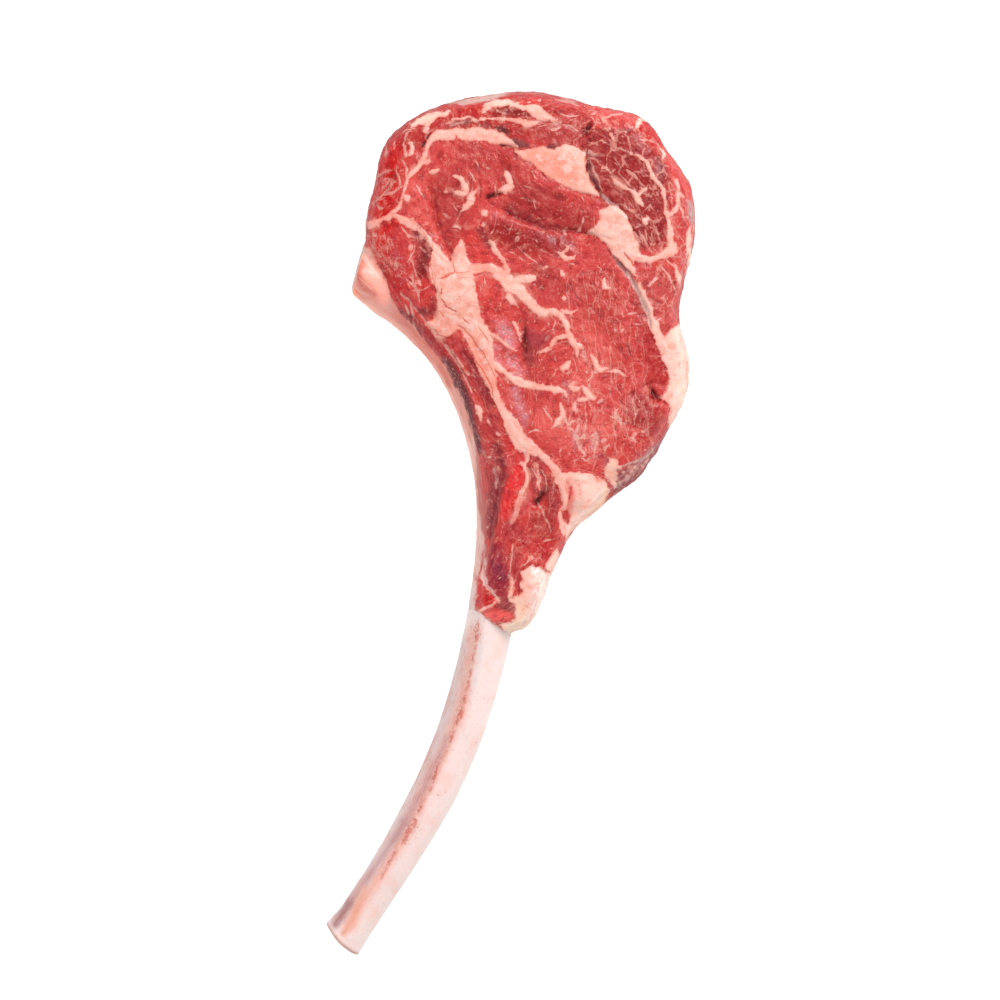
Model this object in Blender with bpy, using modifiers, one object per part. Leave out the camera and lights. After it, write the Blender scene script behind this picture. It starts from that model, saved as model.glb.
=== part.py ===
"""A raw rib steak on the bone, lying on one cut face, with its long cleaned rib.

Metres, +Z up. The meat is one slab between two saw cuts. The rib runs round its hollow side and out of
its narrow tail. Muscles and fat seams run through the slab from face to face, each as its own solid.
"""

import math

import bmesh
import bpy
import numpy as np
from mathutils import Vector

# Driving dimensions, in metres.
OVERALL_LENGTH = 0.378  # sawn end of the rib to the far edge of the meat, along Y
THICKNESS = 0.045  # meat between its two cut faces
WIDEST_LEVEL = 0.019  # height at which the sides of the meat bulge furthest
UNDER_MARGIN = 0.004  # how far the lower cut face lies inside the widest outline
GAP = 0.0003  # between two pieces that lie against each other
SURFACE_STEP = 0.0052  # spacing of the points on the meat's surface
OUTLINE_STEP = 0.004  # spacing of the points round the meat
SEAM_STEP = 0.0042  # spacing of the points along a wall between two pieces
FLAT_SHARE = 0.004  # points this near the lowest one, as a share of the height, lie on the flat underside
CUT_REACH = 0.012  # how far the cutting walls stand past both faces
CUT_STAGGER = 0.02  # each further outline of one cutter is this share lower, to keep their ends apart
WELD = 0.00003  # points this near each other at a wall's rim are one point
SIDE_RINGS = 9  # outlines over the height of the slab
CURVE_SAMPLES = 12  # points on a smooth curve between two given ones

RIB_LEVEL = 0.0225  # height of the rib's middle
RIB_SIDES = 18
RIB_RING_STEP = 0.0078  # spacing of the rib's cross sections
RIDGE_RISE = 0.10  # the ridge along the top of the rib, as a share of its half height
RIDGE_ANGLE = math.radians(108)
GROOVE_DEPTH = 0.09  # the shallow groove beside the ridge, on the rib's inner side
GROOVE_ANGLE = math.radians(142)
CREST_SPREAD = math.radians(16)
END_ROUND = 0.0007  # rounded edge of a sawn end
END_LEAN = math.radians(10)  # the saw leaned out over the free end of the rib

# The outlines below are points of the reference view, which looks straight down on a square of 1000 by 1000
# units. The steak spans these columns and rows of it.
VIEW_LEFT, VIEW_RIGHT = 328, 695
VIEW_TOP, VIEW_BOTTOM = 93, 953
UNIT = OVERALL_LENGTH / (VIEW_BOTTOM - VIEW_TOP)

# Centre line of the rib, from its head to its free end: column, row, half width and half height in mm.
RIB_LINE = [
    (357, 270, 9.8, 19.0),
    (384, 290, 10.0, 17.5),
    (416, 314, 10.2, 16.0),
    (448, 347, 10.2, 15.4),
    (475, 394, 10.2, 15.0),
    (492, 446, 10.2, 15.0),
    (500, 502, 10.1, 15.0),
    (498, 560, 10.0, 14.8),
    (488, 630, 10.3, 14.4),
    (467, 712, 10.1, 13.8),
    (437, 786, 9.8, 13.2),
    (397, 857, 8.9, 12.8),
    (365, 906, 8.6, 13.0),
    (344, 938, 9.0, 13.6),
]
HEAD_CUT = Vector((0.27, 0.96))  # direction of the sawn face at the head, in plan
FREE_CUT = Vector((0.70, -0.71))  # direction of the sawn face at the free end, in plan
CUT_BLEND = 0.016  # length over which the cross sections turn to a sawn face

# Edge of the meat, clockwise from the rib's head: column, row, and how far in its upper face starts, in mm.
MEAT_OUTLINE = [
    (365, 238, 3),
    (370, 205, 3),
    (377, 182, 4),
    (379, 160, 4),
    (391, 137, 5),
    (412, 119, 5),
    (450, 104, 6),
    (492, 95, 7),
    (532, 92, 7),
    (570, 100, 6),
    (600, 109, 4),
    (630, 113, 4),
    (652, 127, 4),
    (664, 149, 4),
    (688, 181, 4),
    (695, 215, 4),
    (692, 250, 4),
    (681, 292, 4),
    (677, 320, 3),
    (686, 345, 6),
    (689, 370, 8),
    (684, 402, 8),
    (668, 429, 8),
    (653, 458, 9),
    (634, 482, 9),
    (609, 496, 8),
    (596, 512, 7),
    (571, 528, 5),
    (564, 549, 4),
    (552, 570, 3),
    (542, 598, 3),
    (530, 625, 4),
    (517, 633, 4),
    (500, 627, 2),
    (482, 618, 2),
    (477, 606, 2),
    (480, 585, 2),
    (485, 553, 2),
    (487, 518, 2),
    (483, 478, 2),
    (474, 440, 2),
    (462, 403, 2),
    (447, 372, 2),
    (426, 344, 2),
    (404, 319, 2),
    (388, 296, 2),
    (377, 268, 2),
]

# Walls between two muscles. Where a fat seam lies between them, the wall runs inside the seam.
EYE_WALL = [
    (426, 142),
    (445, 137),
    (480, 136),
    (513, 148),
    (548, 163),
    (580, 182),
    (600, 203),
    (604, 226),
    (624, 258),
    (641, 290),
    (656, 330),
    (668, 362),
    (669, 392),
    (676, 424),
    (712, 440),
    (690, 500),
    (640, 520),
    (606, 480),
    (580, 476),
    (552, 462),
    (525, 440),
    (505, 412),
    (490, 364),
    (468, 318),
    (456, 268),
    (440, 238),
    (432, 200),
    (427, 165),
]
CHINE_WALL = [
    (345, 236),
    (372, 224),
    (396, 217),
    (414, 225),
    (436, 252),
    (441, 280),
    (442, 312),
    (434, 323),
    (412, 307),
    (397, 299),
    (384, 290),
    (366, 272),
    (345, 260),
]
LEAN_WALL = [
    (378, 284),
    (397, 300),
    (412, 308),
    (434, 324),
    (462, 328),
    (480, 354),
    (500, 392),
    (512, 430),
    (534, 450),
    (553, 466),
    (563, 486),
    (568, 512),
    (572, 536),
    (600, 556),
    (580, 620),
    (530, 662),
    (440, 650),
    (420, 480),
    (390, 390),
    (340, 310),
]

# Fat between the muscles, in closed outlines.
CENTRE_FAT = [
    (433, 247),
    (449, 260),
    (453, 251),
    (461, 242),
    (468, 258),
    (474, 280),
    (477, 300),
    (482, 320),
    (490, 334),
    (494, 354),
    (502, 370),
    (506, 400),
    (516, 419),
    (534, 443),
    (551, 459),
    (562, 471),
    (580, 471),
    (598, 467),
    (610, 481),
    (618, 500),
    (600, 524),
    (572, 545),
    (564, 524),
    (561, 498),
    (549, 470),
    (536, 456),
    (517, 449),
    (504, 427),
    (498, 405),
    (482, 374),
    (465, 339),
    (448, 337),
    (436, 339),
    (426, 323),
    (437, 312),
    (434, 288),
    (430, 268),
]
UPPER_KERNEL = [
    (510, 148),
    (529, 150),
    (542, 147),
    (555, 150),
    (570, 147),
    (583, 153),
    (587, 170),
    (599, 197),
    (578, 194),
    (553, 182),
    (531, 165),
    (517, 157),
]
LOWER_KERNEL = [
    (588, 234),
    (598, 221),
    (603, 208),
    (613, 204),
    (624, 213),
    (633, 230),
    (641, 252),
    (641, 272),
    (630, 272),
    (614, 257),
    (602, 243),
]
OUTER_FAT = [
    (658, 338),
    (666, 332),
    (678, 324),
    (702, 346),
    (704, 400),
    (686, 440),
    (671, 426),
    (669, 410),
    (661, 399),
    (667, 386),
    (668, 368),
    (662, 352),
]
TAIL_FAT = [
    (519, 576),
    (527, 567),
    (542, 568),
    (562, 560),
    (572, 590),
    (546, 644),
    (506, 652),
    (503, 624),
    (512, 618),
    (516, 604),
    (514, 590),
]

# Fat in narrow bands: column, row and width in mm.
CHINE_SEAM = [
    (362, 227, 5.0),
    (380, 220, 2.4),
    (398, 216, 2.2),
    (413, 223, 2.2),
    (428, 237, 2.0),
    (440, 253, 2.6),
]
CAP_SEAM = [
    (411, 176, 1.6),
    (421, 162, 2.6),
    (426, 149, 2.6),
    (436, 138, 3.6),
    (452, 136, 3.2),
    (470, 135, 4.8),
    (490, 138, 4.6),
    (506, 145, 3.8),
    (520, 153, 4.0),
]
MIDDLE_BRANCH = [
    (468, 270, 3.6),
    (488, 270, 3.8),
    (506, 274, 3.8),
    (522, 285, 3.4),
    (533, 306, 3.0),
    (552, 312, 2.6),
    (566, 322, 2.6),
    (577, 349, 2.2),
]
LOWER_BRANCH = [
    (494, 366, 2.8),
    (512, 380, 3.2),
    (534, 386, 2.8),
    (556, 389, 2.4),
    (567, 398, 1.8),
]
SIDE_LOOP = [
    (634, 262, 3.8),
    (650, 260, 3.4),
    (664, 253, 3.4),
    (670, 239, 3.0),
    (666, 215, 2.0),
]
SILVER_SEAM = [
    (616, 258, 2.2),
    (630, 275, 1.8),
    (642, 299, 1.8),
    (650, 322, 2.2),
    (657, 342, 3.0),
    (666, 362, 2.4),
]

# Relief of the upper cut face: broad swellings (column, row, radius in mm, height in mm).
SWELLINGS = [
    (505, 175, 26, 2.2),
    (600, 330, 28, 1.4),
    (570, 430, 18, 1.0),
    (452, 300, 12, 1.8),
    (395, 265, 14, 0.8),
    (630, 175, 22, 1.2),
    (548, 168, 12, 1.2),
    (620, 235, 9, 1.0),
    (535, 600, 12, 1.5),
    (588, 492, 10, 1.0),
    (470, 120, 20, -1.8),
    (420, 350, 22, -2.5),
    (490, 520, 22, -3.0),
    (490, 600, 16, -2.5),
    (665, 380, 12, -2.0),
]
# Creases of the upper cut face: width in mm, depth in mm, and the line of columns and rows.
CREASES = [
    (3.6, 2.6, [(505, 212), (530, 222), (560, 230), (590, 234)]),
    (3.4, 2.2, [(430, 192), (435, 214), (441, 236), (452, 260)]),
    (4.0, 2.6, [(522, 325), (526, 350), (526, 380), (524, 402)]),
    (3.2, 3.4, [(536, 488), (538, 505)]),
    (3.0, 1.6, [(468, 345), (486, 385), (500, 430), (520, 462)]),
    (3.2, 1.6, [(512, 150), (500, 160), (492, 190), (488, 215)]),
    (3.0, 1.8, [(508, 530), (512, 560), (512, 590)]),
]

# Colour, as linear red, green and blue, and roughness of each kind of tissue.
LEAN_RED = (0.42, 0.030, 0.028)
CAP_RED = (0.34, 0.022, 0.024)
DARK_RED = (0.22, 0.014, 0.022)
FAT_PALE = (0.86, 0.52, 0.40)
BONE_CREAM = (0.82, 0.68, 0.60)


def in_plan(column, row):
    """Plan position, in metres, of a point of the reference view."""
    return Vector(
        (
            (column - (VIEW_LEFT + VIEW_RIGHT) / 2) * UNIT,
            ((VIEW_TOP + VIEW_BOTTOM) / 2 - row) * UNIT,
        )
    )


def through(points, step, closed):
    """Points a step apart on a smooth curve through rows of numbers, whose first two are x and y."""
    rows = np.array(points, float)
    count = len(rows)
    fine = []
    for i in range(count if closed else count - 1):
        if closed:
            a, b, c, d = (rows[(i + k) % count] for k in (-1, 0, 1, 2))
        else:
            a, b, c, d = (rows[min(max(i + k, 0), count - 1)] for k in (-1, 0, 1, 2))
        for t in np.linspace(0, 1, CURVE_SAMPLES, endpoint=False):
            fine.append(
                0.5
                * (
                    2 * b
                    + (c - a) * t
                    + (2 * a - 5 * b + 4 * c - d) * t**2
                    + (3 * b - a - 3 * c + d) * t**3
                )
            )
    fine.append(rows[0] if closed else rows[-1])
    fine = np.array(fine)
    along = np.concatenate([[0], np.cumsum(np.hypot(*np.diff(fine[:, :2], axis=0).T))])
    pieces = max(int(round(along[-1] / step)), 4)
    stations = np.linspace(0, along[-1], pieces + 1)
    if closed:
        stations = stations[:-1]
    return np.array([np.interp(stations, along, column) for column in fine.T]).T


def to_metres(points):
    """Rows of column, row and millimetre values, as rows of x, y and metres."""
    return [(*in_plan(*row[:2]), *(value / 1000 for value in row[2:])) for row in points]


def outward(loop):
    """Unit normals of a closed plan loop, pointing out of it."""
    ahead = np.roll(loop, -1, axis=0) - np.roll(loop, 1, axis=0)
    normals = np.stack([ahead[:, 1], -ahead[:, 0]], axis=1)
    normals /= np.linalg.norm(normals, axis=1)[:, None]
    area = np.sum(loop[:, 0] * np.roll(loop[:, 1], -1) - loop[:, 1] * np.roll(loop[:, 0], -1))
    return normals if area > 0 else -normals


def loop_of(points):
    """A smooth closed plan loop through points of the reference view."""
    return through(to_metres(points), SEAM_STEP, closed=True)


def band_of(points):
    """A closed plan loop round a narrow band of changing width."""
    line = through(to_metres(points), SEAM_STEP, closed=False)
    ahead = np.gradient(line[:, :2], axis=0)
    ahead /= np.linalg.norm(ahead, axis=1)[:, None]
    side = np.stack([-ahead[:, 1], ahead[:, 0]], axis=1) * line[:, 2:] / 2
    return np.concatenate([line[:, :2] + side, (line[:, :2] - side)[::-1]])


def material(name, colour, roughness):
    made = bpy.data.materials.new(name)
    made.use_nodes = True
    made.diffuse_color = (*colour, 1)
    shader = made.node_tree.nodes["Principled BSDF"]
    shader.inputs["Base Color"].default_value = (*colour, 1)
    shader.inputs["Roughness"].default_value = roughness
    shader.inputs["Metallic"].default_value = 0
    return made


def collection(name):
    made = bpy.data.collections.new(name)
    bpy.context.scene.collection.children.link(made)
    return made


def mesh_object(name, mesh, where):
    made = bpy.data.objects.new(name, mesh)
    where.objects.link(made)
    return made


def evaluated(obj):
    """A new mesh of an object with its curve bevel and modifiers worked out."""
    bpy.context.view_layer.update()
    graph = bpy.context.evaluated_depsgraph_get()
    return bpy.data.meshes.new_from_object(obj.evaluated_get(graph))


def wall_cutter(name, loop, grow, where):
    """An upright wall round a plan loop, as a closed mesh that reaches past both cut faces."""
    loop = loop + outward(loop) * grow
    curve = bpy.data.curves.new(name, "CURVE")
    curve.dimensions = "2D"
    curve.fill_mode = "BOTH"
    curve.extrude = THICKNESS / 2 + CUT_REACH
    spline = curve.splines.new("POLY")
    spline.points.add(len(loop) - 1)
    for point, (x, y) in zip(spline.points, loop):
        point.co = (x, y, 0, 1)
    spline.use_cyclic_u = True
    outline = mesh_object(name + "_outline", curve, where)
    mesh = evaluated(outline)
    bpy.data.objects.remove(outline)
    shape = bmesh.new()
    shape.from_mesh(mesh)
    bmesh.ops.remove_doubles(shape, verts=shape.verts, dist=WELD)
    bmesh.ops.recalc_face_normals(shape, faces=shape.faces)
    bmesh.ops.translate(shape, verts=shape.verts, vec=(0, 0, THICKNESS / 2))
    shape.to_mesh(mesh)
    shape.free()
    cutter = mesh_object(name, mesh, where)
    cutter.hide_render = True
    cutter.display_type = "WIRE"
    return cutter


def loft(name, rings):
    """A closed mesh over rings of equal length, with a flat face at each end."""
    shape = bmesh.new()
    rows = [[shape.verts.new(point) for point in ring] for ring in rings]
    sides = len(rows[0])
    for lower, upper in zip(rows, rows[1:]):
        for i in range(sides):
            j = (i + 1) % sides
            shape.faces.new((lower[i], lower[j], upper[j], upper[i]))
    shape.faces.new(rows[0])
    shape.faces.new(rows[-1])
    bmesh.ops.triangulate(shape, faces=shape.faces)
    bmesh.ops.recalc_face_normals(shape, faces=shape.faces)
    mesh = bpy.data.meshes.new(name)
    shape.to_mesh(mesh)
    shape.free()
    return mesh


def rib_mesh(name, grow):
    """The curved rib, with a ridge and a groove on its inner side, and a sawn face at each end."""
    line = through(to_metres(RIB_LINE), RIB_RING_STEP, closed=False)
    centres = line[:, :2]
    ahead = np.gradient(centres, axis=0)
    ahead /= np.linalg.norm(ahead, axis=1)[:, None]
    along = np.concatenate([[0], np.cumsum(np.linalg.norm(np.diff(centres, axis=0), axis=1))])
    angles = (np.arange(RIB_SIDES) + 0.5) * 2 * math.pi / RIB_SIDES
    crest = np.exp(-(((angles - RIDGE_ANGLE) / CREST_SPREAD) ** 2))
    groove = np.exp(-(((angles - GROOVE_ANGLE) / CREST_SPREAD) ** 2))
    reach = 1 + RIDGE_RISE * crest - GROOVE_DEPTH * groove
    rings = []

    def add_ring(i, slip, shrink):
        """One cross section, moved along the rib by slip and made smaller by shrink."""
        x, y, half_width, half_height = line[i]
        forward = Vector(ahead[i])
        across = Vector((-forward.y, forward.x))
        lean = 0.0
        for cut, distance, tilt in (
            (HEAD_CUT, along[i], 0.0),
            (FREE_CUT, along[-1] - along[i], END_LEAN),
        ):
            if distance < CUT_BLEND:
                share = 1 - distance / CUT_BLEND
                sign = 1 if cut.dot(across) > 0 else -1
                skewed = across.lerp(sign * cut.normalized(), share).normalized()
                across = skewed / max(skewed.dot(Vector((-forward.y, forward.x))), 0.5)
                lean = math.tan(tilt) * share
        ring = []
        for angle, r in zip(angles, reach):
            u = -r * math.cos(angle) * (half_width + grow - shrink)
            v = r * math.sin(angle) * (half_height + grow - shrink)
            spot = Vector((x, y)) + across * u + forward * (slip + v * lean)
            ring.append((spot.x, spot.y, RIB_LEVEL + v))
        rings.append(ring)

    last = len(line) - 1
    slips = {0: END_ROUND - grow, last: grow - END_ROUND}
    add_ring(0, -grow, END_ROUND)
    for i in range(last + 1):
        add_ring(i, slips.get(i, 0), 0)
    add_ring(last, grow, END_ROUND)
    return loft(name, rings)


def relief(spots):
    """Height of the upper cut face above its mean level, at rows of plan positions."""
    height = np.zeros(len(spots))
    for column, row, radius, rise in SWELLINGS:
        away = np.linalg.norm(spots - np.array(in_plan(column, row)), axis=1)
        height += rise / 1000 * np.exp(-((away / (radius / 1000)) ** 2))
    for width, depth, points in CREASES:
        line = through(to_metres(points), SEAM_STEP, closed=False)
        away = np.min(np.linalg.norm(spots[:, None] - line[None], axis=2), axis=1)
        height -= depth / 1000 * np.exp(-((away / (width / 1000)) ** 2))
    return height


def meat_slab(where):
    """The whole slab of meat, before the rib and the seams divide it."""
    line = through(to_metres(MEAT_OUTLINE), OUTLINE_STEP, closed=True)
    loop, margin = line[:, :2], line[:, 2:]
    normals = outward(loop)
    rings = []
    for turn in np.linspace(-90, 90, SIDE_RINGS):
        swing = math.radians(turn)
        inset = UNDER_MARGIN if turn < 0 else margin
        depth = WIDEST_LEVEL if turn < 0 else THICKNESS - WIDEST_LEVEL
        ring = loop - normals * inset * (1 - math.cos(swing))
        level = WIDEST_LEVEL + depth * math.sin(swing)
        rings.append([(x, y, level) for x, y in ring])
    slab = mesh_object("slab", loft("slab", rings), where)
    remesh = slab.modifiers.new("even_surface", "REMESH")
    remesh.mode = "VOXEL"
    remesh.voxel_size = SURFACE_STEP
    smooth = slab.modifiers.new("soft_edges", "SMOOTH")
    smooth.factor = 0.5
    smooth.iterations = 2
    mesh = evaluated(slab)
    bpy.data.objects.remove(slab)
    points = np.empty(len(mesh.vertices) * 3)
    mesh.vertices.foreach_get("co", points)
    points = points.reshape(-1, 3)
    low, high = points[:, 2].min(), points[:, 2].max()
    level = (points[:, 2] - low) / (high - low)
    # The relief fades out from the upper face to half height, down the sides.
    fade = np.clip(2 * level - 1, 0, 1)
    points[:, 2] = level * THICKNESS + fade * relief(points[:, :2])
    points[level < FLAT_SHARE, 2] = 0
    mesh.vertices.foreach_set("co", points.reshape(-1))
    # Flat triangles, because the cuts bend a face of four corners that don't lie in one plane.
    shape = bmesh.new()
    shape.from_mesh(mesh)
    under = {face for face in shape.faces if all(vert.co.z == 0 for vert in face.verts)}
    inner = [edge for edge in shape.edges if under.issuperset(edge.link_faces)]
    bmesh.ops.dissolve_edges(shape, edges=inner, use_verts=True)
    bmesh.ops.triangulate(shape, faces=shape.faces)
    shape.to_mesh(mesh)
    shape.free()
    slab = mesh_object("slab", mesh, where)
    slab.hide_render = True
    slab.display_type = "WIRE"
    return slab


def cut(obj, operation, cutter):
    modifier = obj.modifiers.new(operation.lower() + "_" + cutter.name, "BOOLEAN")
    modifier.operation = operation
    modifier.object = cutter
    modifier.solver = "EXACT"


def largest_body(mesh):
    """Keeps the largest of a mesh's loose bodies, and drops what the cuts left as scraps."""
    shape = bmesh.new()
    shape.from_mesh(mesh)
    bmesh.ops.triangulate(shape, faces=shape.faces)
    left = set(shape.verts)
    bodies = []
    while left:
        body = set()
        edge = [left.pop()]
        while edge:
            vert = edge.pop()
            body.add(vert)
            for link in vert.link_edges:
                other = link.other_vert(vert)
                if other in left:
                    left.remove(other)
                    edge.append(other)
        bodies.append(body)
    bodies.sort(key=len)
    scraps = [vert for body in bodies[:-1] for vert in body]
    bmesh.ops.delete(shape, geom=scraps, context="VERTS")
    shape.to_mesh(mesh)
    shape.free()
    mesh.update()


def piece(name, slab, cuts, look, where):
    """One node of the slab, left by a chain of cuts."""
    body = mesh_object(name + "_cut", slab.data.copy(), where)
    for operation, cutter in cuts:
        cut(body, operation, cutter)
    mesh = evaluated(body)
    bpy.data.objects.remove(body)
    largest_body(mesh)
    return finished(name, mesh, look, where)


def finished(name, mesh, look, where):
    made = mesh_object(name, mesh, where)
    mesh.materials.clear()
    mesh.materials.append(look)
    mesh.polygons.foreach_set("material_index", [0] * len(mesh.polygons))
    mesh.shade_smooth()
    mesh.set_sharp_from_angle(angle=math.radians(40))
    return made


def united(name, loops, grow, where):
    """One cutter from several outlines that run into each other."""
    first = wall_cutter(name + "_0", loops[0], grow, where)
    extra = []
    for i, loop in enumerate(loops[1:], 1):
        other = wall_cutter(f"{name}_{i}", loop, grow, where)
        other.scale.z = 1 - CUT_STAGGER * i
        other.location.z = THICKNESS / 2 * CUT_STAGGER * i
        cut(first, "UNION", other)
        extra.append(other)
    mesh = evaluated(first)
    for used in [first, *extra]:
        bpy.data.objects.remove(used)
    made = mesh_object(name, mesh, where)
    made.hide_render = True
    made.display_type = "WIRE"
    return made


for leftover in list(bpy.data.objects):
    bpy.data.objects.remove(leftover)
steak = collection("rib_steak")
cutters = collection("cutters")

fats = {
    "seam_fat": [
        loop_of(CENTRE_FAT),
        band_of(CHINE_SEAM),
        band_of(MIDDLE_BRANCH),
        band_of(LOWER_BRANCH),
    ],
    "cap_fat": [loop_of(UPPER_KERNEL), band_of(CAP_SEAM)],
    "side_fat": [loop_of(LOWER_KERNEL), band_of(SIDE_LOOP), band_of(SILVER_SEAM), loop_of(OUTER_FAT)],
    "tail_fat": [loop_of(TAIL_FAT)],
}
walls = {
    "eye_muscle": loop_of(EYE_WALL),
    "chine_muscle": loop_of(CHINE_WALL),
    "rib_lean": loop_of(LEAN_WALL),
}

slab = meat_slab(cutters)
rib_room = mesh_object("rib_room", rib_mesh("rib_room", GAP), cutters)
rib_room.hide_render = True
rib_room.display_type = "WIRE"
fat_shapes = {name: united(name + "_shape", loops, 0, cutters) for name, loops in fats.items()}
fat_rooms = {name: united(name + "_room", loops, GAP, cutters) for name, loops in fats.items()}

fat_look = material("raw_fat", FAT_PALE, 0.45)
looks = {
    "eye_muscle": material("eye_lean", LEAN_RED, 0.4),
    "chine_muscle": material("chine_lean", DARK_RED, 0.4),
    "rib_lean": material("rib_lean", DARK_RED, 0.4),
    "cap_muscle": material("cap_lean", CAP_RED, 0.4),
}

finished("rib_bone", rib_mesh("rib_bone", 0), material("raw_bone", BONE_CREAM, 0.5), steak)
for name in fats:
    chain = [("INTERSECT", fat_shapes[name]), ("DIFFERENCE", rib_room)]
    piece(name, slab, chain, fat_look, steak)
fat_chain = [("DIFFERENCE", room) for room in fat_rooms.values()]
wall_chain = []
for name, loop in walls.items():
    shape = wall_cutter(name + "_shape", loop, 0, cutters)
    chain = [("INTERSECT", shape), ("DIFFERENCE", rib_room), *wall_chain, *fat_chain]
    piece(name, slab, chain, looks[name], steak)
    wall_chain.append(("DIFFERENCE", wall_cutter(name + "_room", loop, GAP, cutters)))
# The cap is what the other muscles leave of the slab.
chain = [("DIFFERENCE", rib_room), *wall_chain, *fat_chain]
piece("cap_muscle", slab, chain, looks["cap_muscle"], steak)

# The origin is the middle of the steak's box, at the level that the meat rests on.
corners = [Vector(spot.co) for obj in steak.objects for spot in obj.data.vertices]
middle_x = (min(c.x for c in corners) + max(c.x for c in corners)) / 2
middle_y = (min(c.y for c in corners) + max(c.y for c in corners)) / 2
lowest = min(c.z for c in corners)
for obj in steak.objects:
    for spot in obj.data.vertices:
        spot.co -= Vector((middle_x, middle_y, lowest))
    obj.data.update()
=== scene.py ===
"""The finish of a raw rib steak on the bone, lying on one cut face, seen from straight above.

Metres, +Z up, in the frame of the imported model. A place on the steak is often given as a column and a row of
the reference picture, a square of 1000 pixels that looks straight down; plan() turns it into millimetres.
"""

import math

import bmesh
import bpy
import numpy as np
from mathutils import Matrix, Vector, noise


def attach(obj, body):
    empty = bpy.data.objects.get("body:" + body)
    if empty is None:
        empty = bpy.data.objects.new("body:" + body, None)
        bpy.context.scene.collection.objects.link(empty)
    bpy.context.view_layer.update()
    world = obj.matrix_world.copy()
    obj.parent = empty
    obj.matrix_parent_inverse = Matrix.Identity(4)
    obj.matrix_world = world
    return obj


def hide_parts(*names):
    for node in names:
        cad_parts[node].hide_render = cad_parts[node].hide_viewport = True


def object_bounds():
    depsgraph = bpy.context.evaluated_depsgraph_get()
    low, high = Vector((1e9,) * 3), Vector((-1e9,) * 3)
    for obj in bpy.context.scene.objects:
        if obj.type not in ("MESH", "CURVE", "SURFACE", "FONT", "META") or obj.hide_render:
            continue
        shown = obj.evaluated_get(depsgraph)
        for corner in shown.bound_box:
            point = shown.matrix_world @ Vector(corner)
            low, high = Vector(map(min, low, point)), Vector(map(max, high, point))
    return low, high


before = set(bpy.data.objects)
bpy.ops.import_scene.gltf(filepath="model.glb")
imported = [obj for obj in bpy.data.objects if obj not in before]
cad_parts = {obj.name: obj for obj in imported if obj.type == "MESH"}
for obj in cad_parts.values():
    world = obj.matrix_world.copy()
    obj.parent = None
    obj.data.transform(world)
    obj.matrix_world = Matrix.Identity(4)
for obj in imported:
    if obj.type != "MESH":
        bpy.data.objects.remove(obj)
cad_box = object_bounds()

# ---- The view ----
# The reference picture looks straight down from far away, so the steak shows no perspective. It spans the
# rows from the far edge of the meat to the sawn end of the rib.
PICTURE_SIDE = 1000
FAR_EDGE_ROW, RIB_END_ROW = 93, 953
MIDDLE_COLUMN, MIDDLE_ROW = 512.2, 522.4  # the model's origin in the picture
CAMERA_HEIGHT = 12.0  # metres
FILM_WIDTH = 36.0  # mm

lowest, highest = cad_box
PIXEL = (highest.y - lowest.y) / (RIB_END_ROW - FAR_EDGE_ROW)  # metres
PIXEL_MM = PIXEL * 1000


def plan(column, row):
    """Plan position, in millimetres, of a point of the picture."""
    return (column - MIDDLE_COLUMN) * PIXEL_MM, (MIDDLE_ROW - row) * PIXEL_MM


def add(name, data):
    made = bpy.data.objects.new(name, data)
    bpy.context.scene.collection.objects.link(made)
    return made


lens = bpy.data.cameras.new("view_from_above")
lens.sensor_width = FILM_WIDTH
lens.lens = FILM_WIDTH * CAMERA_HEIGHT / (PICTURE_SIDE * PIXEL)
lens.clip_end = CAMERA_HEIGHT * 2
camera = add("view_from_above", lens)
view_x, view_y = plan(PICTURE_SIDE / 2, PICTURE_SIDE / 2)
camera.location = (view_x / 1000, view_y / 1000, CAMERA_HEIGHT)
bpy.context.scene.camera = camera

# ---- The studio ----
# A sheet of milky acrylic that glows from below, so that no shadow shows on it, under soft light: a large
# lamp to the upper right of the picture, a weaker one to the lower left, a faint one overhead, and pale walls
# that are darker overhead, so that wet flat places don't turn grey with reflections.
BOARD_SIDE = 6.0
LAMPS = {  # degrees from +Y towards +X, degrees down from the zenith, power in watts and side in metres
    "key_lamp": (35, 42, 45.0, 0.9),
    "fill_lamp": (230, 55, 14.0, 2.2),
    "top_lamp": (0, 8, 5.0, 1.2),
}
LAMP_REACH = 2.2
WALL_LIGHT, ZENITH_LIGHT = 0.80, 0.32
WALL_HEIGHT, ZENITH_HEIGHT = 0.15, 0.95  # how far up a ray points where the walls start and end to darken
LIT = 1.42  # how much brighter than paper white the lamps make a level face


def tone(code, light=LIT):
    """Linear colour that looks like an sRGB hex code under that much light."""
    channels = [int(code[i : i + 2], 16) / 255 for i in (1, 3, 5)]
    linear = [c / 12.92 if c <= 0.04045 else ((c + 0.055) / 1.055) ** 2.4 for c in channels]
    return (*[c / light for c in linear], 1.0)


def feed(tree, made, inputs):
    """Fills a node's inputs, listed in order or by name, with values or with other nodes' outputs."""
    for key, value in inputs.items() if isinstance(inputs, dict) else enumerate(inputs):
        if isinstance(value, bpy.types.NodeSocket):
            tree.links.new(value, made.inputs[key])
        else:
            made.inputs[key].default_value = value


def node(tree, kind, inputs=(), out=0, **settings):
    """Adds a shader node with its settings, feeds its inputs, and returns one of its outputs."""
    made = tree.nodes.new("ShaderNode" + kind)
    for key, value in settings.items():
        setattr(made, key, value)
    feed(tree, made, inputs)
    return made.outputs[out]


for name, (turn, tilt, power, side) in LAMPS.items():
    light = bpy.data.lights.new(name, "AREA")
    light.energy = power
    light.size = side
    around, down = math.radians(turn), math.radians(tilt)
    ray = Vector((math.sin(around) * math.sin(down), math.cos(around) * math.sin(down), math.cos(down)))
    lamp = add(name, light)
    lamp.location = ray * LAMP_REACH
    lamp.rotation_euler = ray.to_track_quat("Z", "Y").to_euler()

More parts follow.
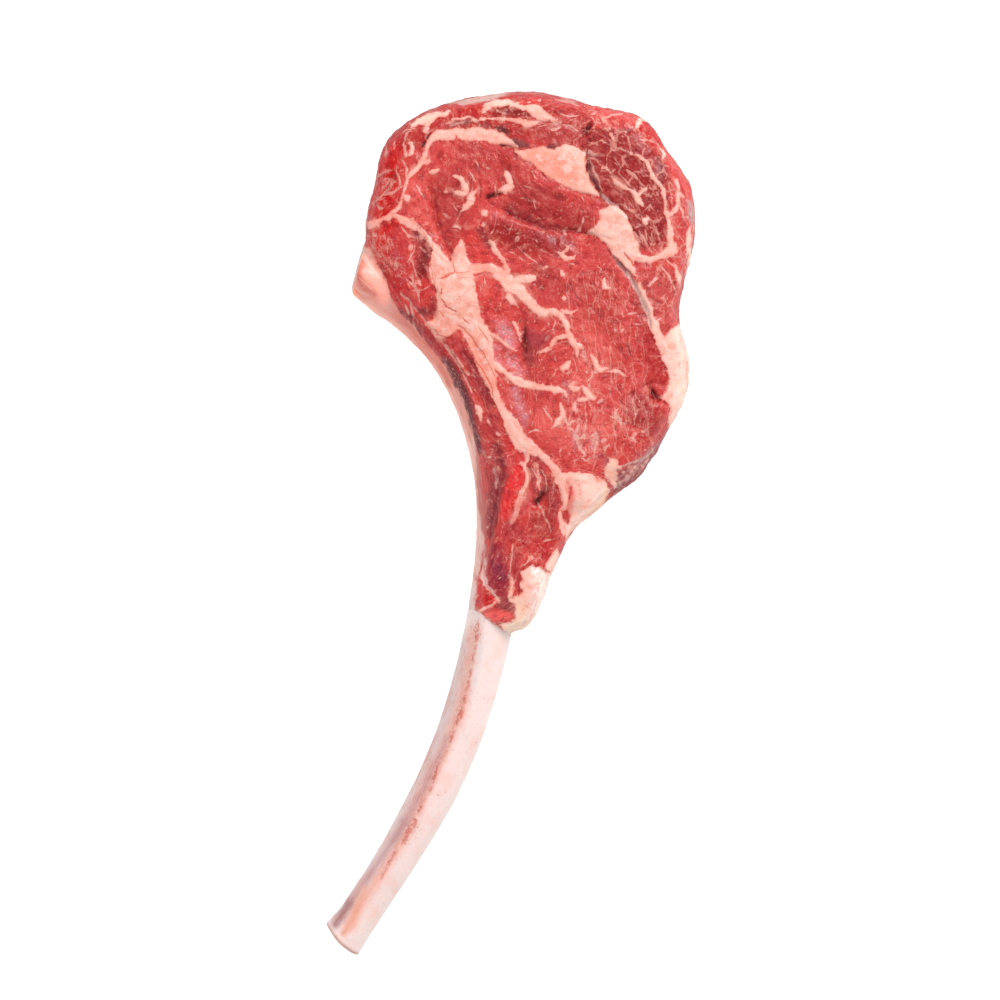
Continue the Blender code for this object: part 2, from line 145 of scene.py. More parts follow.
SOFTLY = {"interpolation_type": "SMOOTHSTEP"}  # for a value that goes softly from one to another
world = bpy.data.worlds.new("pale_studio_walls")
world.use_nodes = True
bpy.context.scene.world = world
walls = world.node_tree
upward = node(walls, "SeparateXYZ", [node(walls, "TexCoord", out="Generated")], "Z")
darkening = [upward, WALL_HEIGHT, ZENITH_HEIGHT, WALL_LIGHT, ZENITH_LIGHT]
brightness = node(walls, "MapRange", darkening, **SOFTLY)
feed(walls, walls.nodes["Background"], {"Strength": brightness, "Color": (1, 1, 1, 1)})
bpy.context.scene.view_settings.view_transform = "Standard"

sheet = bmesh.new()
bmesh.ops.create_grid(sheet, x_segments=8, y_segments=8, size=BOARD_SIDE / 2)
board_mesh = bpy.data.meshes.new("light_table")
sheet.to_mesh(board_mesh)
sheet.free()
board = add("light_table", board_mesh)
acrylic = bpy.data.materials.new("milky_acrylic_lit_from_below")
acrylic.use_nodes = True
feed(acrylic.node_tree, acrylic.node_tree.nodes["Principled BSDF"], {
    "Base Color": tone("#969696", 1),
    "Roughness": 0.9,
    "Emission Color": (1, 1, 1, 1),
    "Emission Strength": 0.86,
    "Specular IOR Level": 0.1,
})
board_mesh.materials.append(acrylic)

# ---- The rib ----
# One long curved rib, scraped clean with a knife: dense pale outer bone with a low ridge
# and a shallow groove on its inner side, and a sawn face at each end where the spongy core shows.
RIB_LEVEL = 22.5  # height of its middle, mm
RIB_SIDES = 96
RIB_STEP = 1.15  # mm between cross sections
RIDGE_RISE, GROOVE_DEPTH = 0.06, 0.055  # shares of the half height
RIDGE_ANGLE, GROOVE_ANGLE = 80, 46  # degrees, 0 at the inner edge of the curve and 90 on top
CREST_SPREAD, GROOVE_SPREAD = 20, 20  # degrees
RIDGE_SWAY, GROOVE_SWAY = 23.0, 31.0  # mm along the rib in which they wander by SWAY_TURN
SWAY_TURN = 3  # degrees
END_ROUND = 0.3  # mm
END_LEAN = 10  # degrees that the saw leaned out over the free end
CUT_BLEND = 16.0  # mm over which the cross sections turn to a sawn face
HEAD_CUT, FREE_CUT = (0.27, 0.96), (0.70, -0.71)  # directions of the sawn faces, in plan
LIP_RISE, LIP_LENGTH = 0.13, 7.0  # the bone flares at its free end, on the inner side
LIP_ANGLE, LIP_SPREAD = 20, 40  # degrees
# Centre line: column, row, half width and half height in mm.
RIB_LINE = [
    (357, 270, 9.8, 19.0),
    (384, 290, 10.0, 17.5),
    (416, 314, 10.2, 16.0),
    (448, 347, 10.2, 15.4),
    (475, 394, 10.2, 15.0),
    (492, 446, 10.2, 15.0),
    (500, 502, 10.1, 15.0),
    (498, 560, 10.0, 14.8),
    (488, 630, 10.3, 14.4),
    (467, 712, 10.1, 13.8),
    (437, 786, 9.8, 13.2),
    (397, 857, 8.9, 12.8),
    (365, 906, 8.6, 13.0),
    (344, 938, 9.0, 13.6),
]


def curve_through(points, step, closed=False):
    """Rows a step apart, in mm, on a smooth curve through rows that start with a column and a row."""
    rows = np.array([(*plan(*p[:2]), *p[2:]) for p in points], float)
    count = len(rows)
    if count == 1:
        return rows
    fine = []
    for i in range(count if closed else count - 1):
        near = [(i + k) % count if closed else min(max(i + k, 0), count - 1) for k in (-1, 0, 1, 2)]
        a, b, c, d = rows[near]
        t = np.linspace(0, 1, 8, endpoint=False)[:, None]
        bend = 2 * b + (c - a) * t + (2 * a - 5 * b + 4 * c - d) * t**2 + (3 * b - a - 3 * c + d) * t**3
        fine.append(0.5 * bend)
    fine = np.concatenate([*fine, rows[:1] if closed else rows[-1:]])
    along = np.concatenate([[0], np.cumsum(np.hypot(*np.diff(fine[:, :2], axis=0).T))])
    stations = np.linspace(0, along[-1], max(int(round(along[-1] / step)), 2) + 1)
    return np.array([np.interp(stations, along, column) for column in fine.T]).T


def rolling(x, y, z, size, seed=0.0, octaves=3):
    """Smooth seeded unevenness between about -1 and 1, at places in mm, with lumps of the given size."""
    spots = np.stack([x, y, z], axis=1) / size + seed
    return np.array([noise.fractal(p, 1.0, 2.0, octaves) for p in spots.tolist()])


def lumpy(x, y, z, lumps):
    """Unevenness in mm from several sizes of lump, each a rise and a size in mm, a seed and octaves."""
    return sum(rise * rolling(x, y, z, size, seed, octaves) for rise, size, seed, octaves in lumps)


def bell(distance, spread):
    return np.exp(-((distance / spread) ** 2))


def rib_rings(step, sides, grow):
    """Rings of points round the rib, with each ring's distance from the head and each point's angle."""
    line = curve_through(RIB_LINE, step)
    centres, half_width, half_height = line[:, :2], line[:, 2], line[:, 3]
    ahead = np.gradient(centres, axis=0)
    ahead /= np.linalg.norm(ahead, axis=1)[:, None]
    along = np.concatenate([[0], np.cumsum(np.linalg.norm(np.diff(centres, axis=0), axis=1))])
    left = along[-1] - along
    turn = (np.arange(sides) + 0.5) * 2 * math.pi / sides
    degrees = np.degrees(turn)[None, :]
    off_ridge = (degrees - RIDGE_ANGLE - SWAY_TURN * np.sin(along / RIDGE_SWAY)[:, None] + 180) % 360 - 180
    off_groove = (degrees - GROOVE_ANGLE - SWAY_TURN * np.sin(along / GROOVE_SWAY)[:, None] + 180) % 360 - 180
    reach = 1 + RIDGE_RISE * bell(off_ridge, CREST_SPREAD) - GROOVE_DEPTH * bell(off_groove, GROOVE_SPREAD)
    reach += LIP_RISE * bell(left, LIP_LENGTH)[:, None] * bell(degrees - LIP_ANGLE, LIP_SPREAD)
    rings = np.empty((len(line), sides, 3))
    for i, (centre, forward) in enumerate(zip(centres, ahead)):
        across = np.array([-forward[1], forward[0]])
        side, lean = across, 0.0
        for cut, distance, tilt in ((HEAD_CUT, along[i], 0), (FREE_CUT, left[i], END_LEAN)):
            if distance < CUT_BLEND:
                share = 1 - distance / CUT_BLEND
                toward = np.array(cut) / np.linalg.norm(cut)
                toward = toward if toward @ across > 0 else -toward
                skewed = across * (1 - share) + toward * share
                skewed /= np.linalg.norm(skewed)
                side = skewed / max(skewed @ across, 0.5)
                lean = math.tan(math.radians(tilt)) * share
        u = -reach[i] * np.cos(turn) * (half_width[i] + grow)
        v = reach[i] * np.sin(turn) * (half_height[i] + grow)
        rings[i, :, :2] = centre + side[None] * u[:, None] + forward[None] * (v * lean)[:, None]
        rings[i, :, 2] = RIB_LEVEL + v
    return rings, along, turn


def drawn_in(rings, by):
    """The same rings with each point moved towards its ring's middle, in mm."""
    inward = rings.mean(axis=1, keepdims=True) - rings
    return rings + inward / np.linalg.norm(inward, axis=2, keepdims=True) * by


def shell(rings, name):
    """A closed mesh in metres over rings of equal length. Its ends close to the last ring's middle."""
    count, sides = rings.shape[:2]
    points = rings.reshape(-1, 3) / 1000
    i, j = np.meshgrid(np.arange(count - 1), np.arange(sides), indexing="ij")
    k = (j + 1) % sides
    quads = np.stack([i * sides + j, i * sides + k, (i + 1) * sides + k, (i + 1) * sides + j], axis=-1)
    faces = [tuple(q) for q in quads.reshape(-1, 4).tolist()]
    faces.append(tuple(range(sides - 1, -1, -1)))
    faces.append(tuple(range((count - 1) * sides, count * sides)))
    mesh = bpy.data.meshes.new(name)
    mesh.from_pydata(points.tolist(), [], faces)
    shape = bmesh.new()
    shape.from_mesh(mesh)
    bmesh.ops.recalc_face_normals(shape, faces=shape.faces)
    shape.to_mesh(mesh)
    shape.free()
    return mesh


FAR = 40.0  # mm; what is out of reach counts as this far off


def nearest(spots, line, reach, closed=False):
    """Nearest place on a line for each plan point in reach: index, signed offset, half width, distance."""
    low, high = line[:, :2].min(0) - reach, line[:, :2].max(0) + reach
    near = np.nonzero(((spots > low) & (spots < high)).all(axis=1))[0]
    ends = np.roll(line, -1, axis=0) if closed else line[1:]
    starts = line if closed else line[:-1]
    run = ends[:, :2] - starts[:, :2]
    size = np.maximum((run**2).sum(1), 1e-9)
    found = np.full(len(near), FAR)
    offset = np.full(len(near), FAR)
    width = np.zeros(len(near))
    for start, end, way, long in zip(starts, ends, run, size):
        gap = spots[near] - start[:2]
        t = np.clip(gap @ way / long, 0, 1)
        miss = gap - t[:, None] * way
        distance = np.hypot(*miss.T)
        half = start[-1] + (end[-1] - start[-1]) * t if line.shape[1] > 2 else np.zeros(len(near))
        closer = distance - half < found - width
        found = np.where(closer, distance, found)
        width = np.where(closer, half, width)
        side = np.sign(way[0] * gap[:, 1] - way[1] * gap[:, 0])
        offset = np.where(closer, side * distance, offset)
    return near, offset, width, found


BAND_STEP, FLECK_STEP = 1.0, 0.6  # mm between the points of a drawn stroke
BAND_REACH, FLECK_REACH = 9.0, 6.0


def stroke(points, step=BAND_STEP):
    """The curve of a stroke through columns, rows and widths in pixels. It holds half widths in mm."""
    return curve_through([(*p[:2], p[2] / 2 * PIXEL_MM) for p in points], step)


def band(spots, points, taper=False):
    """How far inside a stroke each plan point is, in mm. With taper its ends thin out."""
    line = stroke(points, FLECK_STEP if taper else BAND_STEP)
    if taper:
        share = np.clip(np.linspace(0, 1, len(line)), 0.02, 0.98)
        line[:, 2] *= 0.3 + 0.9 * np.sin(np.pi * share) ** 0.6
    near, _, width, found = nearest(spots, line, FLECK_REACH if taper else BAND_REACH)
    inside = np.full(len(spots), -FAR)
    inside[near] = width - found
    return inside


def soft_step(value, low, high):
    t = np.clip((value - low) / (high - low), 0, 1)
    return t * t * (3 - 2 * t)


def shade(code):
    return np.array(tone(code)[:3])


def washed(colours, code, share):
    """Colours that turn to another one by a share."""
    return colours + (shade(code) - colours) * share


def painted(spots, base, patches):
    """A colour for each plan point: a base, with soft patches over it in turn."""
    colours = np.tile(shade(base), (len(spots), 1))
    for code, softness, line in patches:
        share = soft_step(band(spots, line), -softness / 2, softness / 2)
        colours = washed(colours, code, share[:, None])
    return colours


def store(mesh, name, values, kind="FLOAT"):
    """Keeps a value for each vertex, as one number, a vector or a colour."""
    if kind == "FLOAT_COLOR":
        values = np.concatenate([np.clip(values, 0, 1), np.ones((len(values), 1))], axis=1)
    field = {"FLOAT": "value", "FLOAT_VECTOR": "vector", "FLOAT_COLOR": "color"}[kind]
    made = mesh.attributes.new(name, kind, "POINT")
    made.data.foreach_set(field, np.ascontiguousarray(values, np.float32).reshape(-1))


CAP_RINGS = 22
CAP_MIDDLE = 0.04  # radius of a sawn face's innermost ring, as a share of its edge's
SPONGE_EDGE = 0.74  # the spongy core starts this far out from the middle of a sawn face
SPONGE_FADE = 60  # how sharply
PIT_SIZE, PIT_ROUGHNESS, PIT_DEPTH = 1.6, 0.55, 0.35  # mm
COVERED_LENGTH = 176.0  # mm of the rib, from its head, that lie inside the meat
COVER_FADE = 12.0
SINK = 0.9  # mm that the covered stretch is slimmer, to stay under the meat
HIDDEN_HEAD = 3  # rings left out at the head, so that the film closes over it
BONE_LUMPS = [(0.22, 14, 3.1, 3), (0.07, 3.2, 8.7, 2)]  # rise and size in mm, seed and octaves

rings, along, turn = rib_rings(RIB_STEP, RIB_SIDES, 0)
middles = rings.mean(axis=1, keepdims=True)
rings = drawn_in(rings, np.clip((COVERED_LENGTH - along) / COVER_FADE, 0, 1)[:, None, None] * SINK)
uneven = lumpy(*rings.reshape(-1, 3).T, BONE_LUMPS)
outward = (rings - middles).reshape(-1, 3)
outward /= np.linalg.norm(outward, axis=1)[:, None]
rings += (outward * uneven[:, None]).reshape(rings.shape)

# Each sawn face is a run of rings that shrink to its middle. Its edge is a little rounded, its core pitted.
shares = np.linspace(1, CAP_MIDDLE, CAP_RINGS)


def sawn_face(edge, direction):
    """Rings of one sawn face, from its edge inwards."""
    middle = edge.mean(axis=0)
    made = []
    for share in shares:
        ring = middle + (edge - middle) * share
        core = 1 / (1 + math.exp((share - SPONGE_EDGE) * SPONGE_FADE))
        pits = rolling(*ring.T, PIT_SIZE, 5.5, 2) * PIT_ROUGHNESS * core - PIT_DEPTH * core
        bulge = END_ROUND * math.sqrt(max(1 - share**10, 0))
        made.append(ring + direction * (bulge + pits)[:, None])
    return made


rings, along = rings[HIDDEN_HEAD:], along[HIDDEN_HEAD:]
head_way = np.append(rings[0, :, :2].mean(0) - rings[3, :, :2].mean(0), 0)
free_way = np.append(rings[-1, :, :2].mean(0) - rings[-4, :, :2].mean(0), 0)
head_face = sawn_face(rings[0], head_way / np.linalg.norm(head_way))
free_face = sawn_face(rings[-1], free_way / np.linalg.norm(free_way))
bone_rings = np.array([*head_face[:0:-1], *rings, *free_face[1:]])
rib = add("scraped_rib", shell(bone_rings, "scraped_rib"))
rib.data.shade_smooth()

# Places on the bone that its finish needs: how far round it a point is, how far along, and how deep in a cut.
share_of_ring = np.concatenate([shares[:0:-1], np.ones(len(rings)), shares[1:]])
length_of_ring = np.concatenate([np.zeros(CAP_RINGS - 1), along, np.full(CAP_RINGS - 1, along[-1])])
angle_of_point = np.degrees(np.tile(turn, len(bone_rings)))
length_of_point = np.repeat(length_of_ring, RIB_SIDES)
store(rib.data, "core", np.repeat(share_of_ring, RIB_SIDES))
store(rib.data, "turn", (angle_of_point + 90) % 360 - 90)
store(rib.data, "length", length_of_point)
store(rib.data, "free", along[-1] - length_of_point)
bone_points = bone_rings.reshape(-1, 3)
from_above = bone_points[:, :2] + 0.35 * rolling(*bone_points.T, 5.0, 4.2, 2)[:, None]
on_the_crown = soft_step(bone_points[:, 2], RIB_LEVEL - 4, RIB_LEVEL + 2)
BLOOD_LINE = [
    (478, 624, 3), (477, 636, 4), (475, 647, 2), (471, 671, 2), (466, 694, 3), (462, 708, 4), (459, 720, 4),
    (453, 732, 3), (450, 742, 1.4), (444, 756, 2.6), (438, 765, 2), (432, 785, 2.6), (420, 808, 2.4),
    (413, 825, 5), (405, 838, 4), (397, 850, 3), (390, 860, 2.6), (382, 877, 1.4),
]
BONE_TRIM = (1.12, 1.03, 1.03)  # makes up for the sheen and for the light that goes into the bone
# Stains, and painted shade, seen from above: a colour, how softly it ends in mm, and a band.
BONE_STAINS_AND_SHADE = [
    # greyer down the inner side, away from the key lamp: partly the bone's own grey, partly painted shade
    ("#E6D6D3", 6, [(462, 640, 16), (455, 680, 20), (440, 725, 22), (420, 765, 22), (395, 810, 20),
        (365, 860, 20)]),
    ("#E9D9D6", 6, [(365, 860, 20), (345, 895, 18), (335, 912, 12)]),
    ("#F6BFAF", 6, [(474, 630, 7), (468, 668, 8), (462, 700, 10), (452, 730, 10), (440, 760, 8),
        (420, 800, 8)]),
    ("#F6BFAF", 6, [(420, 800, 8), (404, 835, 9), (386, 865, 8), (370, 890, 8), (360, 905, 10),
        (352, 925, 8)]),
    ("#D9A9A6", 4, [(447, 736, 4), (440, 754, 7), (431, 772, 8), (424, 788, 8), (415, 803, 9),
        (405, 821, 9)]),
    ("#C99C9C", 4, [(405, 821, 9), (396, 836, 9), (385, 852, 6), (374, 868, 6), (362, 886, 7),
        (350, 902, 9)]),
    ("#B07C7C", 4, [(350, 902, 9), (342, 914, 10), (336, 923, 8)]),
    ("#DDA49C", 3, [(450, 690, 3), (444, 707, 4), (437, 722, 3)]),
    ("#E0AEA6", 3, [(436, 735, 3), (428, 752, 4), (417, 775, 3), (404, 797, 3)]),
    ("#EDE5E4", 3, [(482, 636, 3), (480, 650, 5), (477, 668, 4), (473, 688, 4), (469, 702, 3)]),
    ("#F4B8A0", 4, [(364, 888, 6), (358, 905, 8), (350, 922, 7), (344, 932, 6)]),
    ("#FFF1EC", 5, [(372, 915, 10), (360, 935, 12)]),
]
bone_tint = painted(from_above, "#FFEFEA", BONE_STAINS_AND_SHADE) * np.array(BONE_TRIM)
store(rib.data, "bone_tint", bone_tint, "FLOAT_COLOR")
# Offset from the blood's line in half widths of it, only on the upper side.
NO_BLOOD = 9.0
off_blood = np.full(len(from_above), NO_BLOOD)
near, offset, width, _ = nearest(from_above, stroke(BLOOD_LINE), BAND_REACH)
off_blood[near] = offset / np.maximum(width, 0.2)
off_blood[on_the_crown < 0.5] = NO_BLOOD
store(rib.data, "blood", off_blood)

# Fresh scraped bone: smooth, faintly waxy and cream pink, with blood in the groove and thin streaks of what
# the knife left. Light goes a little way into it.
BONE_IOR, BONE_ROUGHNESS = 1.54, 0.46
STREAK_TURN, STREAK_RUN = 0.00017, 0.00011  # metres of pattern a degree round the bone, and a mm along it
PORE_SIZE = 1.5  # mm
BLOOD_ORANGE, BLOOD_DULL = tone("#E0624F"), tone("#A04A44")
COLOURS = {"data_type": "RGBA", "out": 2}  # for a mix of two colours


def together(tree, *masks):
    """Masks multiplied together. Each is a value, or a value with where it starts and ends to show."""
    soft = [node(tree, "MapRange", mask, **SOFTLY) if isinstance(mask, tuple) else mask for mask in masks]
    share = soft[0]
    for other in soft[1:]:
        share = node(tree, "Math", [share, other], operation="MULTIPLY")
    return share


def added(tree, start, *parts):
    """A value with others added to it, each a value and its share."""
    for value, share in parts:
        start = node(tree, "Math", [value, share, start], operation="MULTIPLY_ADD")
    return start


def laid_on(tree, under, over, *masks):
    """A colour laid over another where all of the masks show."""
    return node(tree, "Mix", {0: together(tree, *masks), 6: under, 7: over}, **COLOURS)


bone = bpy.data.materials.new("scraped_bone_waxy")
bone.use_nodes = True
tree = bone.node_tree
place = node(tree, "TexCoord", out="Object")
tint = node(tree, "Attribute", out="Color", attribute_name="bone_tint")
core, round_the_rib, down_the_rib, to_free_end, blood = (
    node(tree, "Attribute", out="Fac", attribute_name=name)
    for name in ("core", "turn", "length", "free", "blood")
)
# Streaks run lengthwise: a coordinate that changes fast round the bone and slowly along it.
pattern_turn = node(tree, "Math", [round_the_rib, STREAK_TURN], operation="MULTIPLY")
pattern_run = node(tree, "Math", [down_the_rib, STREAK_RUN], operation="MULTIPLY")
streak_place = node(tree, "CombineXYZ", [pattern_turn, pattern_run])
fine_streaks, broad_streaks, mottle, speckle, clumps, specks = (
    node(tree, "TexNoise", {"Vector": where, "Scale": 1000 / size, "Detail": detail, "Roughness": rough})
    for where, size, detail, rough in (
        (streak_place, 0.55, 4.0, 0.65),
        (streak_place, 2.6, 3.0, 0.6),
        (place, 9.0, 3.0, 0.6),
        (place, 1.3, 2.0, 0.7),
        (place, 4.0, 3.0, 0.7),
        (place, 1.1, 0.0, 0.5),
    )
)

# Cream bone, pinker in clouds, greyer and streaked where the knife went lengthwise.
clouds = node(tree, "MapRange", [mottle, 0.46, 0.70, 0.0, 0.6], **SOFTLY)
bone_colour = node(tree, "Mix", {0: clouds, 6: tint, 7: tone("#FFE6DE", 1)}, blend_type="MULTIPLY", **COLOURS)
bone_colour = laid_on(tree, bone_colour, tone("#EFE3E0"), (broad_streaks, 0.54, 0.74, 0, 0.22))
inner = node(tree, "MapRange", [round_the_rib, 92, 66], **SOFTLY)
bloodier = node(tree, "MapRange", [mottle, 0.38, 0.60, 0.25, 1.0], **SOFTLY)
bone_colour = laid_on(tree, bone_colour, tone("#CC8379"), (fine_streaks, 0.50, 0.66), inner, bloodier, 0.62)
bone_colour = laid_on(tree, bone_colour, tone("#F3ECEA"), (fine_streaks, 0.46, 0.34), inner, 0.5)
# Blood caught along the ridge, in broken runs.
halo = node(tree, "Math", [blood], operation="ABSOLUTE")
bone_colour = laid_on(tree, bone_colour, tone("#F0A896"), (halo, 6.0, 0.5), (speckle, 0.42, 0.60), 0.42)
drifted = added(tree, -5.5, (blood, 1), (speckle, 6.0), (fine_streaks, 5.0))
drifted = node(tree, "Math", [drifted], operation="ABSOLUTE")
ridge_blood = together(tree, (drifted, 2.0, 0.2), (clumps, 0.38, 0.60))
bone_colour = laid_on(tree, bone_colour, BLOOD_ORANGE, ridge_blood, 0.72)
bone_colour = laid_on(tree, bone_colour, BLOOD_DULL, ridge_blood, (speckle, 0.48, 0.62), 0.45)
bone_colour = laid_on(tree, bone_colour, tone("#F0A08E"), (speckle, 0.56, 0.70, 0, 0.20))
bone_colour = laid_on(tree, bone_colour, BLOOD_DULL, (specks, 0.80, 0.83, 0, 0.4))
# The sawn ends: a dense pale rim round a spongy red-brown core.
bone_colour = laid_on(tree, bone_colour, tone("#D9B0A0"), (core, 0.999, 0.97), (to_free_end, 3.0, 0.2), 0.5)
pores = node(tree, "TexVoronoi", {"Vector": place, "Scale": 1000 / PORE_SIZE}, "Distance")
sponge = laid_on(tree, tone("#8E3A32"), tone("#D9A58F"), (pores, 0.15, 0.5))
core_edge = added(tree, core, (mottle, 0.2))
in_core = node(tree, "MapRange", [core_edge, SPONGE_EDGE + 0.14, SPONGE_EDGE + 0.08], **SOFTLY)
bone_colour = laid_on(tree, bone_colour, sponge, in_core)
# A thin brown scorch where the saw passed.
bone_colour = laid_on(tree, bone_colour, tone("#C07A5E"), (to_free_end, 1.8, 0.3), (core, 0.96, 0.999), 0.55)
# Fine relief, in mm: scrapes along the bone, pores in its core and a faint grain.
pits = together(tree, pores, in_core, 0.5)
bone_height = added(tree, pits, (fine_streaks, 0.10), (speckle, 0.05))
feed(tree, tree.nodes["Principled BSDF"], {
    "Base Color": bone_colour,
    "Normal": node(tree, "Bump", {"Strength": 0.7, "Distance": 0.001, "Height": bone_height}),
    "Roughness": BONE_ROUGHNESS,
    "IOR": BONE_IOR,
    "Specular IOR Level": 0.4,
    "Subsurface Weight": 0.6,
    "Subsurface Radius": (1.0, 0.6, 0.45),
    "Subsurface Scale": 0.0016,
})
rib.data.materials.append(bone)
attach(rib, "root")
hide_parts("rib_bone")

# ---- The meat ----
# One slab between two saw cuts. The muscles, the fat between them and the film over the bone hang together,
# so they are one wet surface here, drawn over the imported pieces, with finer forms pressed into its top.
MEAT_NODES = [
    "eye_muscle", "cap_muscle", "chine_muscle", "rib_lean", "seam_fat", "cap_fat", "side_fat", "tail_fat",
]
SWELL = 0.00026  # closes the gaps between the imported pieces, in metres
FILM_OVER_BONE = 0.35  # thickness of the film that covers the rib inside the meat, mm
FILM_STEP, FILM_SIDES = 4.0, 40
FILM_STOP = 172.0  # mm along the rib where the film dives under the scraped bone's surface
FILM_TAPER, FILM_DIVE = 18, 2.6  # how far on it ends, and how deep, in mm
SURFACE_STEP = 0.00132  # metres
SOFTEN_TURNS, TOP_SOFTEN_TURNS = 12, 2
TOP_START, TOP_SLOPE = 0.030, 0.42  # metres, and the least upward share of a normal on the cut face
TOP_LEVEL = 45.0  # mm

body = bmesh.new()
for name in MEAT_NODES:
    body.from_mesh(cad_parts[name].data)
bmesh.ops.remove_doubles(body, verts=body.verts, dist=1e-6)
bmesh.ops.recalc_face_normals(body, faces=body.faces)
body.normal_update()
for vert in body.verts:
    vert.co += vert.normal * SWELL
film_rings, film_along, _ = rib_rings(FILM_STEP, FILM_SIDES, FILM_OVER_BONE)
kept = film_along < FILM_STOP + FILM_TAPER
dive = np.clip((film_along[kept] - FILM_STOP) / FILM_TAPER, 0, 1)[:, None, None] * FILM_DIVE
film_mesh = shell(drawn_in(film_rings[kept], dive), "film")
body.from_mesh(film_mesh)
bpy.data.meshes.remove(film_mesh)
rough_mesh = bpy.data.meshes.new("rough_slab")
body.to_mesh(rough_mesh)
body.free()
rough = add("rough_slab", rough_mesh)
remesh = rough.modifiers.new("even_surface", "REMESH")
remesh.mode = "VOXEL"
remesh.voxel_size = SURFACE_STEP
bpy.context.view_layer.update()
meat_mesh = bpy.data.meshes.new_from_object(rough.evaluated_get(bpy.context.evaluated_depsgraph_get()))
bpy.data.objects.remove(rough)
bpy.data.meshes.remove(rough_mesh)


def points_of(mesh):
    flat = np.empty(len(mesh.vertices) * 3)
    mesh.vertices.foreach_get("co", flat)
    return flat.reshape(-1, 3)


def move_points(mesh, points):
    mesh.vertices.foreach_set("co", points.reshape(-1))
    mesh.update()


def soften(mesh, turns, share=0.5):
    """Moves each point part of the way to the mean of its neighbours, several times."""
    points = points_of(mesh)
    pairs = np.empty(len(mesh.edges) * 2, np.int64)
    mesh.edges.foreach_get("vertices", pairs)
    a, b = pairs.reshape(-1, 2).T
    count = np.bincount(np.concatenate([a, b]), minlength=len(points))[:, None]
    total = np.empty_like(points)
    for _ in range(turns):
        for axis, place in enumerate(points.T):
            total[:, axis] = np.bincount(a, place[b], len(points)) + np.bincount(b, place[a], len(points))
        points += (total / count - points) * share
    move_points(mesh, points)


soften(meat_mesh, SOFTEN_TURNS)

# The upper cut face carries the fine detail, so its mesh is twice as fine there.
shape = bmesh.new()
shape.from_mesh(meat_mesh)
level = [face for face in shape.faces if face.normal.z > TOP_SLOPE]
upper = [face for face in level if face.calc_center_median().z > TOP_START]
edges = list({edge for face in upper for edge in face.edges})
bmesh.ops.subdivide_edges(shape, edges=edges, cuts=1, use_grid_fill=True)
shape.to_mesh(meat_mesh)
shape.free()
soften(meat_mesh, TOP_SOFTEN_TURNS)
meat = add("raw_steak", meat_mesh)

spots = points_of(meat_mesh) * 1000
facing = np.empty(len(spots) * 3)
meat_mesh.vertices.foreach_get("normal", facing)
facing = facing.reshape(-1, 3)
x, y, z = spots.T
on_top = soft_step(facing[:, 2], 0.15, 0.6) * soft_step(z, 26, 38)
# Seams don't run straight down the sides: the plan position of a point shifts a little with its depth.
SEAM_DRIFT, DRIFT_DEPTH, DRIFT_SIZE = 2.2, 20, 16  # mm
depth = np.clip(TOP_LEVEL - z, 0, None) * (1 - on_top)
shift = SEAM_DRIFT * (depth / DRIFT_DEPTH)
drifts = [start + shift * rolling(x, y, z, DRIFT_SIZE, seed, 2) for start, seed in ((x, 1.3), (y, 6.1))]
flat = np.stack(drifts, axis=1)
# The edge of a seam is never an even curve: what is drawn on the cut face wanders by up to half a millimetre.
EDGE_WANDER = [(0.62, 5.0, 2.9), (0.26, 2.0, 7.3)]  # mm, size of the waves in mm, and a seed
OTHER_WAY = 31.7  # added to the seed for the second direction
for wander, size, seed in EDGE_WANDER:
    sway = [wander * rolling(x, y, z, size, seed + more, 2) for more in (0.0, OTHER_WAY)]
    flat += np.stack(sway, axis=1)

